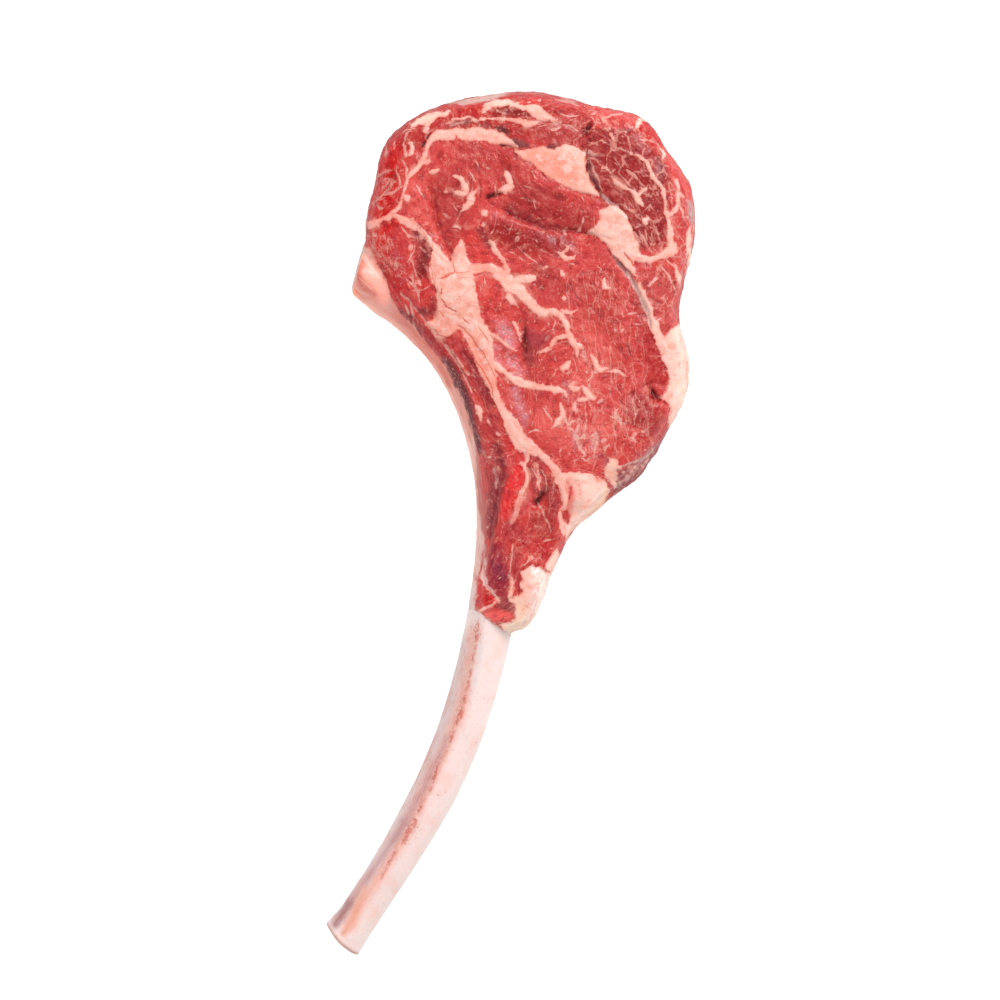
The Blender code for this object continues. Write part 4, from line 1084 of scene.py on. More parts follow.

# Nicks and cracks in the cut face, darkened with painted shade: a strength from 0 to 1 with a line of
# columns, rows and widths in pixels.
NICKS = [
    (0.75, [(508, 214, 1.2), (515, 218, 2.0), (523, 222, 3.0), (531, 225, 2.0), (544, 230, 1.6),
        (560, 232, 1.4), (588, 234, 1.4)]),
    (0.55, [(431, 196, 1.2), (433, 210, 1.6), (437, 226, 1.4), (443, 240, 1.4), (451, 258, 1.6)]),
    (0.9, [(488, 199, 3.0), (493, 197, 3.4), (500, 195, 2.0)]),
    (0.85, [(503, 146, 1.4), (510, 148, 2.4), (517, 149, 2.4), (521, 150, 1.2)]),
    (0.8, [(585, 161, 2.4), (587, 167, 3.0), (586, 173, 1.6)]),
    (0.6, [(590, 178, 1.6), (594, 184, 2.2), (599, 192, 2.2), (602, 199, 1.2)]),
    (0.6, [(606, 207, 1.4), (614, 206, 1.8), (622, 210, 2.0), (627, 218, 1.4), (632, 230, 1.6)]),
    (0.8, [(583, 136, 2.0), (585, 131, 4.0), (589, 128, 2.0)]),
    (0.9, [(651, 391, 2.0), (653, 395, 5.0), (656, 398, 5.0), (659, 399, 2.0)]),
    (0.9, [(595, 189, 1.2), (598, 194, 1.4)]),
    (0.9, [(599, 196, 1.6), (601, 198, 1.2)]),
    (0.9, [(609, 198, 1.2), (612, 201, 1.6), (614, 203, 1.0)]),
    (0.9, [(620, 209, 1.2), (624, 213, 1.6), (626, 217, 1.2)]),
    (0.9, [(627, 219, 1.4), (629, 223, 1.6)]),
    (0.9, [(630, 226, 1.2), (631, 228, 1.4)]),
    (0.9, [(635, 232, 1.4), (637, 235, 1.4)]),
    (0.9, [(638, 239, 1.2), (640, 242, 1.4)]),
    (0.9, [(641, 246, 1.4), (643, 249, 1.4)]),
    (0.9, [(625, 254, 1.6), (628, 259, 2.6), (632, 267, 1.2)]),
    (0.5, [(632, 394, 1.2), (641, 388, 1.6), (650, 384, 1.6), (660, 384, 1.2)]),
    (0.7, [(536, 503, 1.6), (537, 500.5, 3.4), (539, 498, 2.0), (541, 496, 1.0)]),
    (0.9, [(423, 147, 2.6), (424, 143, 2.2)]),
    (0.9, [(427, 140, 2.4), (429, 137, 2.0)]),
    (0.6, [(524, 326, 1.2), (525, 336, 2.6), (526, 348, 3.0), (526, 360, 1.6)]),
    (0.9, [(441, 279, 2.2), (443, 279, 2.4), (448, 276, 1.6), (454, 273, 1.4), (454, 266, 1.2),
        (453, 261, 1.0)]),
    (0.6, [(455, 273, 1.4), (463, 274, 1.4), (468, 273, 1.2)]),
    (0.9, [(441, 289, 1.8), (441, 295, 2.0)]),
    (0.9, [(442, 300, 1.2), (446, 306, 1.6), (451, 310, 2.2), (455, 312, 2.0)]),
    (0.5, [(462, 296, 1.0), (468, 291, 1.4), (474, 287, 1.2)]),
    (0.6, [(461, 279, 1.2), (467, 279, 1.4)]),
    (0.8, [(463, 320, 1.4), (466, 322, 2.2), (468, 324, 1.4)]),
    (0.6, [(441, 313, 1.6), (444, 318, 1.2)]),
    (0.7, [(436, 331, 2.2), (438, 334, 1.6)]),
    (0.6, [(438, 336, 1.2), (446, 338, 1.6)]),
    (0.6, [(457, 326, 1.6), (464, 329, 1.6), (470, 337, 1.6), (476, 345, 1.8), (484, 355, 1.8),
        (491, 369, 1.4), (495, 377, 1.0)]),
    (0.7, [(466, 341, 1.2), (470, 348, 1.6), (476, 361, 1.8), (483, 370, 1.6), (489, 382, 1.6),
        (494, 396, 1.2)]),
    (0.7, [(479, 328, 1.2), (484, 334, 1.8), (488, 341, 1.4)]),
    (0.5, [(433, 246, 1.2), (431, 258, 1.4), (432, 272, 1.2), (435, 290, 1.4), (438, 308, 1.4),
        (434, 320, 1.4)]),
    (0.45, [(411, 222, 1.2), (420, 229, 1.6), (428, 240, 1.4)]),
    (0.4, [(465, 201, 1.2), (474, 203, 1.4)]),
    (0.5, [(456, 161, 1.4), (461, 163, 1.4)]),
    (0.4, [(414, 255, 1.4), (409, 262, 1.2)]),
    (0.45, [(388, 265, 1.4), (396, 275, 1.2)]),
    (0.45, [(472, 170, 1.0), (480, 185, 1.2)]),
    (0.45, [(517, 212, 1.0), (512, 206, 1.2), (503, 203, 1.0)]),
    (0.55, [(614, 256, 1.4), (621, 265, 2.0), (628, 273, 2.0), (634, 284, 2.2)]),
    (0.5, [(638, 300, 1.4), (645, 318, 1.6), (652, 340, 1.4), (660, 358, 1.6), (665, 374, 1.4)]),
    (0.4, [(404, 297, 1.2), (418, 312, 1.4), (432, 331, 1.4)]),
    (0.55, [(448, 346, 1.4), (460, 366, 1.6), (470, 388, 1.2)]),
    (0.55, [(500, 470, 1.4), (498, 492, 2.0), (493, 515, 1.6), (490, 540, 1.4)]),
    (0.5, [(528, 470, 1.2), (529, 482, 1.6), (524, 497, 1.2)]),
    (0.5, [(484, 565, 1.4), (485, 580, 1.6), (492, 594, 1.4)]),
    (0.5, [(516, 556, 1.2), (515, 575, 1.6), (513, 592, 1.4)]),
    (0.8, [(521, 571, 1.6), (525, 568, 2.6), (530, 565, 2.0)]),
    (0.8, [(541, 568, 1.8), (546, 571, 3.0), (549, 573, 1.6)]),
    (0.7, [(520, 586, 2.0), (520, 592, 3.0), (518, 597, 1.6)]),
    (0.45, [(565, 486, 1.2), (568, 500, 1.6), (566, 518, 1.4)]),
    (0.5, [(420, 312, 1.6), (412, 318, 1.4), (404, 312, 1.2)]),
    (0.3, [(504, 529, 1.2), (512, 534, 1.6), (520, 540, 1.4), (528, 548, 1.6), (531, 560, 1.2)]),
    (0.4, [(500, 535, 1.2), (496, 546, 1.4), (490, 556, 1.2)]),
    (0.4, [(531, 512, 1.2), (533, 525, 1.6), (531, 540, 1.4)]),
    (0.45, [(543, 476, 1.2), (546, 488, 1.6), (549, 500, 1.2)]),
]
nick, nick_gap, nick_strength = hairlines(NICKS)

# ---- Lean colours ----
# Raw beef goes from bright red, where air reached it, to maroon and purple where it didn't. Soft patches,
# each a colour, how softly it ends in mm, and a band of columns, rows and widths in pixels. The dark
# patches laid along creases, nicks, a notch and a hole are painted shade.
EYE_RED = "#CF5450"
LEAN_TRIM = (1.17, 0.67, 0.69)  # makes up for the sheen, which washes the red out a little
LEAN_PATCHES = [
    ("#B93C3A", 9, [(400, 130, 60), (450, 112, 50), (520, 115, 60), (570, 125, 50)]),
    ("#A12B2C", 10, [(600, 150, 70), (630, 180, 70), (650, 230, 40)]),
    ("#C65D58", 8, [(660, 290, 40), (668, 325, 30)]),
    ("#C8080E", 7, [(388, 150, 26), (385, 190, 26), (382, 212, 20)]),
    ("#BD2A29", 5, [(455, 113, 14), (478, 112, 14)]),
    ("#8E2422", 4, [(497, 112, 8), (515, 113, 11), (528, 117, 6)]),
    ("#7E4442", 2, [(497, 130, 4), (503, 131, 7), (507, 134, 5)]),
    ("#7C4444", 2, [(512, 142, 5), (519, 145, 7), (528, 147, 4)]),
    ("#7C4444", 2, [(549, 149, 5), (554, 146, 8), (559, 144, 5)]),
    ("#9C5852", 2.4, [(448, 129, 3), (456, 126, 4), (465, 125, 5), (471, 124, 3)]),
    ("#9C5852", 2.4, [(478, 127, 3), (488, 128, 4)]),
    ("#855053", 2, [(588, 162, 4), (590, 172, 6), (594, 181, 6), (599, 190, 3)]),
    ("#B4423F", 5, [(545, 133, 22), (575, 138, 20)]),
    ("#BC0810", 3, [(640, 130, 14), (650, 131, 18), (656, 142, 12)]),
    ("#D94441", 3, [(524, 104, 6), (536, 103, 5)]),
    ("#D8625A", 9, [(412, 185, 22), (418, 215, 26), (430, 250, 20)]),
    ("#BE4A47", 8, [(450, 190, 40), (455, 225, 30)]),
    ("#C04A46", 9, [(470, 155, 30), (500, 165, 34), (520, 180, 30)]),
    ("#B03B3B", 7, [(520, 205, 26), (550, 212, 26), (580, 218, 22)]),
    ("#AE3E3C", 5, [(532, 190, 14), (556, 196, 12)]),
    # painted shade along the main crease
    ("#A5383A", 3, [(508, 213, 5), (525, 220, 6), (545, 227, 5), (570, 230, 4), (586, 233, 3)]),
    ("#A01C1E", 7, [(500, 232, 24), (530, 243, 24), (565, 246, 20)]),
    # painted shade along a small fold
    ("#9E3B3C", 3, [(480, 232, 8), (487, 243, 9), (494, 249, 5)]),
    ("#D64C46", 6, [(470, 240, 12), (480, 255, 14), (500, 262, 8)]),
    ("#D5554F", 8, [(480, 285, 30), (492, 300, 26), (498, 318, 20)]),
    ("#C24C49", 8, [(548, 290, 26), (575, 285, 20)]),
    ("#B14442", 6, [(540, 270, 16), (553, 277, 10)]),
    ("#C04541", 10, [(600, 290, 50), (600, 340, 50)]),
    ("#B83837", 8, [(640, 300, 16), (645, 330, 20), (655, 365, 18), (662, 385, 10)]),
    ("#DD6E65", 9, [(585, 330, 20), (600, 350, 24), (585, 380, 30)]),
    ("#E0736A", 9, [(545, 420, 26), (575, 440, 26), (600, 430, 24)]),
    ("#AF4342", 8, [(640, 410, 34), (648, 425, 28)]),
    # painted shade in the notch at the right edge
    ("#7E2A2C", 2.5, [(652, 393, 5), (655, 397, 5)]),
    ("#B86A6E", 4, [(606, 460, 8), (618, 478, 16), (634, 468, 14), (650, 454, 10), (660, 444, 7)]),
    ("#96525A", 2.5, [(614, 492, 4), (628, 483, 5), (640, 473, 5), (652, 460, 4)]),
    ("#D98E86", 3, [(495, 472, 4), (497, 480, 5), (496, 488, 4)]),
    ("#E8807C", 3, [(522, 466, 4), (521, 474, 6), (518, 482, 4)]),
    ("#E39A90", 3, [(513, 512, 4), (511, 520, 5), (510, 530, 3)]),
    ("#A85258", 4, [(531, 458, 9), (537, 464, 12), (534, 472, 10)]),
    ("#8F454C", 3, [(657, 160, 6), (661, 170, 8), (660, 182, 6)]),
    ("#D6504E", 4, [(636, 436, 14), (640, 440, 8)]),
    ("#B44C56", 5, [(530, 335, 12), (536, 342, 14), (546, 338, 10)]),
    # painted shade in the upright crease
    ("#7E2226", 3, [(524, 328, 3), (525, 343, 6), (526, 358, 4)]),
    ("#AC4A50", 4, [(531, 350, 7), (530, 364, 7)]),
    ("#E88A8C", 4, [(503, 326, 12), (508, 336, 12), (512, 345, 10)]),
    ("#DE8284", 4, [(494, 348, 6), (497, 360, 6), (512, 364, 8), (518, 374, 8)]),
    ("#CE7C80", 4, [(514, 390, 8), (519, 404, 9), (524, 418, 8), (523, 427, 6)]),
    ("#CE6462", 4, [(566, 388, 8), (568, 398, 7)]),
    ("#D26A66", 4, [(575, 436, 10), (579, 448, 10)]),
    ("#D26A66", 4, [(594, 438, 9), (596, 452, 9)]),
    ("#C2282C", 8, [(388, 240, 26), (395, 262, 26), (400, 285, 20)]),
    ("#D81F24", 3, [(377, 252, 4), (382, 236, 5), (390, 227, 6), (399, 223, 5)]),
    ("#C21C22", 3, [(374, 250, 4), (382, 268, 5), (394, 282, 6), (402, 296, 6)]),
    ("#8C2428", 5, [(418, 235, 12), (426, 248, 14), (424, 262, 14), (420, 275, 8)]),
    ("#C83B3A", 5, [(420, 285, 12), (426, 298, 12)]),
    ("#8F3536", 4, [(425, 312, 9), (434, 312, 7), (433, 300, 4)]),
    ("#93393C", 4, [(398, 312, 6), (410, 320, 8), (424, 335, 8)]),
    ("#B22729", 5, [(428, 335, 12), (445, 355, 12), (458, 372, 10)]),
    ("#681C26", 4, [(446, 362, 10), (458, 385, 13), (466, 405, 12), (474, 430, 10), (480, 450, 9)]),
    ("#B94347", 4, [(455, 340, 8), (462, 350, 8)]),
    ("#982E32", 4, [(464, 352, 8), (474, 370, 12), (484, 390, 12), (490, 405, 10)]),
    ("#B23F40", 5, [(490, 420, 14), (497, 440, 14)]),
    ("#C04A49", 4, [(480, 420, 8), (488, 445, 7)]),
    ("#C4504E", 3, [(484, 436, 5), (487, 470, 5), (488, 500, 5), (486, 530, 5)]),
    ("#98383E", 4, [(497, 448, 12), (500, 470, 15), (497, 490, 15), (493, 512, 14), (491, 535, 9)]),
    ("#D03A3D", 4, [(506, 436, 7), (513, 448, 8), (518, 458, 6)]),
    ("#E4383B", 3, [(520, 466, 7), (518, 474, 12), (513, 488, 15), (508, 502, 13), (504, 516, 9)]),
    ("#C85756", 4, [(533, 465, 14), (537, 480, 16), (530, 500, 10)]),
    ("#A93C3D", 4, [(550, 480, 10), (553, 500, 14), (550, 515, 12)]),
    ("#B5443F", 5, [(540, 520, 18), (548, 535, 18)]),
    # painted shade round the deep hole in the tail, and near black in it
    ("#8A3032", 3, [(537, 501, 6), (541, 496, 8), (545, 490, 6)]),
    ("#48100F", 1.6, [(536, 503, 2), (537, 500, 4.4), (539, 498, 2.4)]),
    ("#C0474A", 5, [(505, 535, 14), (512, 528, 12), (525, 540, 12)]),
    ("#A03444", 5, [(497, 550, 16), (497, 566, 22), (500, 585, 20), (502, 596, 12)]),
    ("#8E3050", 5, [(496, 566, 9), (501, 576, 10)]),
    ("#AE3D40", 4, [(515, 552, 8), (516, 575, 6), (520, 585, 5)]),
    ("#C43A3C", 5, [(540, 550, 16), (548, 545, 10), (540, 562, 8)]),
    ("#D40C16", 4, [(479, 585, 9), (482, 597, 14), (494, 602, 8)]),
    ("#9C5654", 3, [(500, 604, 8), (508, 606, 11), (514, 610, 6)]),
    ("#FF8078", 3, [(486, 615, 6), (496, 616, 9), (508, 616, 7)]),
    # painted shade in the deepest nicks
    ("#5C1B1E", 1.6, [(488, 199, 3), (493, 197, 5), (498, 196, 3)]),
    ("#64161A", 1.6, [(502, 146, 2), (509, 148, 3), (517, 149, 4)]),
    ("#5E1B20", 1.6, [(584, 134, 4), (586, 130, 5), (589, 128, 2)]),
    ("#5A1A1C", 1.2, [(423, 146, 3), (424, 144, 3)]),
    ("#5A1A1C", 1.2, [(428, 139, 3), (428, 138, 3)]),
]
# Where the lean is netted with thin fat: a strength and a band.
NETTING = [
    (1.0, [(600, 140, 60), (640, 170, 60), (655, 220, 50), (668, 275, 40), (672, 310, 24)]),
    (0.05, [(395, 150, 26), (388, 190, 26), (384, 212, 20)]),
    (0.5, [(545, 125, 34), (600, 125, 40)]),
    (0.6, [(640, 415, 40), (650, 430, 24)]),
    (0.5, [(575, 400, 60), (600, 440, 40)]),
    (0.4, [(520, 460, 30), (535, 500, 40), (530, 540, 40)]),
]
# Where wet membranes over the fibres shine lilac: partly their own tint, partly painted sheen and glints.
LILAC_AND_PAINTED_SHEEN = [
    (0.9, [(497, 322, 8), (505, 332, 16), (508, 344, 12)]),
    (0.8, [(492, 344, 8), (497, 356, 8), (510, 360, 12), (519, 374, 12)]),
    (0.8, [(516, 390, 7), (519, 404, 9), (524, 418, 8)]),
    (0.7, [(566, 386, 8), (568, 398, 8)]),
    (0.8, [(574, 432, 8), (579, 448, 9)]),
    (0.8, [(593, 436, 8), (596, 454, 8)]),
    (0.15, [(392, 240, 12), (400, 262, 14), (410, 290, 14)]),
    (0.10, [(430, 340, 8), (455, 372, 10), (468, 400, 8), (476, 440, 7)]),
    (0.35, [(378, 180, 8), (374, 205, 8)]),
    (0.4, [(684, 200, 8), (688, 240, 8), (682, 280, 8)]),
    (0.15, [(490, 445, 5), (494, 470, 6), (494, 500, 6), (490, 525, 5)]),
    (0.15, [(545, 240, 14), (570, 244, 12)]),
]


def strongest(places, low, high):
    """The strongest at each point of several places, each a strength and a band that ends softly, in mm."""
    share = np.zeros(len(flat))
    for strength, line in places:
        share = np.maximum(share, strength * soft_step(band(flat, line), low, high))
    return share


lilac_and_painted_sheen = strongest(LILAC_AND_PAINTED_SHEEN, -2, 3)
netting = strongest(NETTING, -4, 3)
lean_colour = painted(flat, EYE_RED, LEAN_PATCHES) * np.array(LEAN_TRIM)

# ---- Fat colours ----
# Fat is cream with a blush: salmon where it is thin or lies over blood, near white where it is broad.
FAT_CREAM = "#F7BBAA"
FAT_TRIM = (1.22, 1.17, 1.17)
FAT_PATCHES = [
    ("#F6B9A8", 5, [(452, 290, 30), (465, 300, 20)]),
    ("#F3A392", 5, [(450, 318, 18), (440, 330, 14), (470, 330, 14)]),
    ("#F6AC9B", 5, [(436, 270, 10), (445, 272, 10), (460, 256, 14)]),
    ("#F29985", 6, [(476, 345, 16), (486, 370, 14), (492, 385, 12)]),
    ("#F8B9AA", 5, [(500, 410, 10), (515, 430, 10), (535, 447, 10), (552, 466, 10)]),
    ("#F3A796", 5, [(480, 268, 12), (500, 274, 12)]),
    ("#F39883", 7, [(535, 158, 20), (555, 165, 26), (575, 175, 26)]),
    ("#F7AE9B", 6, [(580, 165, 12), (585, 185, 10)]),
    ("#F8BFAF", 6, [(610, 220, 24), (625, 245, 20), (655, 260, 10)]),
    ("#F8CDBF", 6, [(585, 490, 26), (600, 490, 14)]),
    ("#E07F74", 3, [(568, 482, 4), (571, 495, 8), (570, 505, 7), (567, 517, 6)]),
    ("#EDA293", 3, [(580, 466, 6), (590, 470, 8), (600, 476, 8)]),
    ("#F6B392", 3, [(608, 488, 5), (604, 500, 6), (596, 508, 5)]),
    ("#F0BDA8", 3, [(610, 460, 14), (613, 475, 18), (618, 488, 10)]),
    ("#DCA294", 3, [(622, 474, 8), (634, 470, 8), (648, 461, 8)]),
    ("#E08A80", 4, [(521, 499, 5), (518, 507, 8), (514, 517, 9), (511, 525, 7)]),
    ("#DDB9B2", 2, [(487, 556, 5), (484, 576, 8), (494, 594, 6)]),
    ("#F5CDC0", 7, [(668, 360, 14), (675, 380, 14), (676, 400, 14)]),
    ("#EFC3B4", 5, [(678, 340, 12), (683, 352, 12)]),
    ("#F4CDB8", 5, [(683, 380, 8), (682, 400, 8)]),
    ("#FEE0D6", 6, [(540, 575, 20), (538, 595, 18), (532, 608, 14)]),
    ("#FFD6BE", 5, [(520, 600, 8), (518, 615, 20), (520, 630, 22)]),
    ("#F6B3A2", 5, [(450, 136, 12), (480, 136, 12), (505, 142, 10)]),
    ("#F1A090", 4, [(375, 226, 14), (395, 218, 10)]),
]
fat_colour = painted(flat, FAT_CREAM, FAT_PATCHES) * np.array(FAT_TRIM)

# ---- Skins and films ----
# Grey silverskin along some seams, the pink film on the rib's inner side, the dried rim of the slab, and the
# pale cartilage of the rib's head. Each is a colour, a strength, how softly it ends in mm, and a band.
FILMS = [
    ("#8E5D59", 0.75, 1.4, [(610, 254, 1.4), (615, 260, 2.6), (621, 267, 5), (627, 274, 5),
        (633, 283, 3.4), (637, 291, 2)]),
    ("#D0A197", 0.85, 1.6, [(627, 274, 3), (634, 286, 6), (642, 301, 6.4), (648, 315, 5), (651, 328, 3)]),
    ("#8F5C56", 0.6, 1.6, [(586, 154, 2.6), (592, 157, 4), (598, 159, 2.6)]),
    ("#C08A80", 0.5, 1.6, [(500, 124, 2), (520, 128, 2), (540, 130, 2), (560, 128, 2), (575, 133, 2)]),
    ("#E6B8AD", 0.9, 2.5, [(448, 103, 5), (462, 102, 8), (478, 99, 10), (492, 97, 8), (510, 94, 5)]),
    ("#C08A84", 0.6, 2.5, [(505, 95, 4), (530, 94, 4), (555, 97, 4), (575, 103, 4)]),
    ("#BE766E", 0.6, 3, [(368, 218, 6), (365, 228, 9), (366, 238, 8)]),
    ("#E6AAA2", 0.25, 3, [(674, 172, 4), (686, 192, 6), (690, 215, 7), (690, 240, 7), (686, 268, 7),
        (678, 295, 5)]),
    ("#C4ADA9", 0.7, 3, [(688, 203, 5), (691, 213, 8), (692, 225, 5)]),
    ("#CBA098", 0.8, 1.2, [(599, 194, 3), (606, 200, 4), (612, 205, 4), (618, 208, 3)]),
    ("#E9DDD6", 0.8, 3, [(683, 338, 8), (690, 352, 6)]),
    ("#B8767C", 0.55, 4, [(676, 422, 6), (667, 436, 8), (656, 450, 7)]),
    ("#E3B5AA", 0.8, 1.2, [(658, 445, 1.6), (650, 453, 2.4), (640, 460, 2.4), (628, 464, 2.4),
        (620, 466, 1.6)]),
    ("#DFA59C", 0.5, 1.4, [(493, 468, 3), (497, 478, 5), (496, 488, 3)]),
    ("#CE9890", 0.45, 1.4, [(481, 450, 4), (486, 458, 3)]),
    ("#D7A69E", 0.6, 1.4, [(486, 545, 2), (484, 558, 3), (483, 572, 2)]),
    ("#FFC6B6", 0.9, 2, [(479, 613, 2), (490, 621, 3.4), (501, 628, 2.4)]),
]
# Torn corners, where crumbs of fat and sinew stand in crevices darkened with painted shade: bands.
TORN = [
    [(618, 470, 5), (622, 480, 9), (618, 488, 6)],
    [(618, 478, 10), (630, 471, 12), (643, 461, 9), (655, 449, 6), (664, 438, 3)],
    [(366, 224, 5), (366, 234, 9), (364, 244, 6)],
]
# The membrane over the rib and its head, an area with its own colours.
MEMBRANE = [
    (391, 297), (400, 312), (408, 320), (418, 330), (428, 345), (437, 355), (445, 367), (452, 380),
    (465, 405), (472, 430), (477, 450), (481, 470), (483, 490), (486, 510), (486, 530), (484, 550),
    (480, 566), (476, 584), (476, 612), (470, 650), (430, 660), (430, 500), (400, 420), (320, 330),
    (325, 290), (345, 252), (362, 246), (370, 250), (378, 264), (385, 280),
]
MEMBRANE_BASE = "#E0A499"
MEMBRANE_TRIM = (1.42, 1.16, 1.10)  # it faces away from the lamps
MEMBRANE_PATCHES = [
    ("#FFB9AB", 5, [(360, 250, 12), (366, 262, 18), (372, 280, 22), (384, 298, 14)]),
    ("#FFD6CA", 3, [(367, 254, 5), (371, 266, 7), (377, 277, 6)]),
    ("#D07668", 4, [(362, 262, 4), (359, 276, 6), (363, 288, 6), (374, 296, 5)]),
    ("#FCA487", 3, [(351, 283, 6), (353, 292, 8), (358, 297, 5)]),
    ("#F7CDBE", 4, [(356, 300, 5), (368, 307, 5), (382, 316, 5), (394, 326, 5), (404, 336, 5)]),
    ("#DA8474", 4, [(396, 312, 6), (410, 326, 7), (424, 342, 7), (438, 361, 7), (450, 384, 7)]),
    ("#F0D6CE", 3, [(404, 336, 4), (424, 358, 5), (440, 382, 6), (453, 408, 7), (462, 432, 7),
        (468, 462, 7)]),
    ("#F4E2DC", 3, [(465, 450, 8), (472, 490, 9), (474, 520, 9), (473, 560, 9), (470, 585, 9),
        (466, 612, 12)]),
    ("#E2D2CC", 3, [(473, 440, 5), (479, 475, 5), (482, 510, 6), (481, 545, 6), (479, 575, 5),
        (476, 596, 4)]),
    ("#BE8078", 1.4, [(474, 430, 4), (478.5, 466, 5), (481.5, 500, 5), (484, 530, 4)]),
    ("#B86662", 1.6, [(478, 436, 4), (482, 466, 5), (485.5, 500, 7), (487.5, 530, 7), (488, 550, 5)]),
    ("#CC9E98", 2.0, [(486, 545, 6), (485, 562, 6), (482, 576, 4)]),
    ("#DCD6D6", 6, [(474, 582, 6), (472, 594, 12), (468, 607, 24), (464, 622, 34)]),
]
film = soft_step(area(flat, MEMBRANE), -1.3, 1.3) * (z > 6)
film_colour = painted(flat, MEMBRANE_BASE, MEMBRANE_PATCHES) * np.array(MEMBRANE_TRIM)
for code, strength, softness, line in FILMS:
    share = soft_step(band(flat, line), -softness / 2, softness / 2) * strength * soft_step(z, 16, 34)
    film_colour = washed(film_colour, code, np.maximum(share, share > film)[:, None])
    film = np.maximum(film, share)
torn_place = strongest([(1.0, line) for line in TORN], -0.6, 1.2)
# The sides that faced the outside of the animal carry a thin, drier cover of fat and film.
COVER_PALE, COVER_DARK, COVER_OVER_FAT = "#EBB9AA", "#CF9084", "#F4C9B8"
COVER_SHARE = 0.75
side = (1 - soft_step(facing[:, 2], -0.15, 0.25)) * soft_step(z, -0.5, 1.0)
patchy = rolling(x, y, z * 0.5, 13, 2.7, 3)
cover_mix = soft_step(rolling(x, y, z * 0.4, 22, 9.4, 2), -0.3, 0.3)[:, None]
cover_colour = shade(COVER_PALE) * cover_mix + shade(COVER_DARK) * (1 - cover_mix)
cover_colour = washed(cover_colour, COVER_OVER_FAT, soft_step(fat, -0.5, 1.0)[:, None])
BESIDE_RIB = 6  # pixels
rib_band = [(column, row, 2 * half_width / PIXEL_MM + BESIDE_RIB) for column, row, half_width, _ in RIB_LINE]
near_rib = band(flat, rib_band)
inner_side = soft_step(near_rib, -1.0, 1.5)
cover = side * soft_step(patchy, -0.34, 0.16) * (1 - 0.7 * inner_side) * COVER_SHARE
film_colour = np.where((cover > film)[:, None], cover_colour, film_colour)
film = np.maximum(cover, film)
# The rib's film covers its whole inner flank, not only what shows from above.
FLANK_PINK, FLANK_SHARE = "#E6B4A8", 0.85
flank = inner_side * side
film_colour = washed(film_colour, FLANK_PINK, (flank * (1 - soft_step(film, 0.4, 0.9)))[:, None])
film = np.maximum(film, FLANK_SHARE * flank)

# Light comes up through the thin fat and flesh of a real rim, which is made up for by paler colours there,
# most of all at the tail's end.
RIM_LIFT_LEAN, RIM_LIFT_FAT, RIM_LIFT_TAIL = 0.12, 0.30, 0.22
turned = (1 - soft_step(facing[:, 2], 0.45, 0.95))[:, None]
lean_colour *= 1 + RIM_LIFT_LEAN * turned
fat_colour *= 1 + RIM_LIFT_FAT * turned
fat_colour *= 1 + RIM_LIFT_TAIL * turned * soft_step(-facing[:, 1:2], 0.2, 0.8)
# Lower down the sides the lean is painted darker, as painted shade on sides that turn away from the light.
SIDE_LEAN_SHADE = (0.70, 0.52, 0.56)
low_side_shade = (1 - soft_step(facing[:, 2], 0.0, 0.5)) * (1 - soft_step(z, 24, 40))
lean_colour *= 1 + (np.array(SIDE_LEAN_SHADE) - 1) * low_side_shade[:, None]

# The head end of the rib is a sawn face as well, with a spongy core in a pale rim.
HEAD_WAY = np.array([-HEAD_CUT[1], HEAD_CUT[0], 0]) / math.hypot(*HEAD_CUT)
HEAD_REACH = 1.8  # half widths of the rib
head_column, head_row, head_half_width, head_half_height = RIB_LINE[0]
head_x, head_y = plan(head_column, head_row)
aside = ((x - head_x) * HEAD_CUT[0] + (y - head_y) * HEAD_CUT[1]) / math.hypot(*HEAD_CUT)
sawn_radius = np.hypot(aside / head_half_width, (z - RIB_LEVEL) / head_half_height)
at_head = np.hypot(x - head_x, y - head_y) < HEAD_REACH * head_half_width
sawn_head = soft_step(facing @ HEAD_WAY, 0.70, 0.90) * at_head
sawn_head *= 1 - soft_step(sawn_radius, 1.02, 1.16)

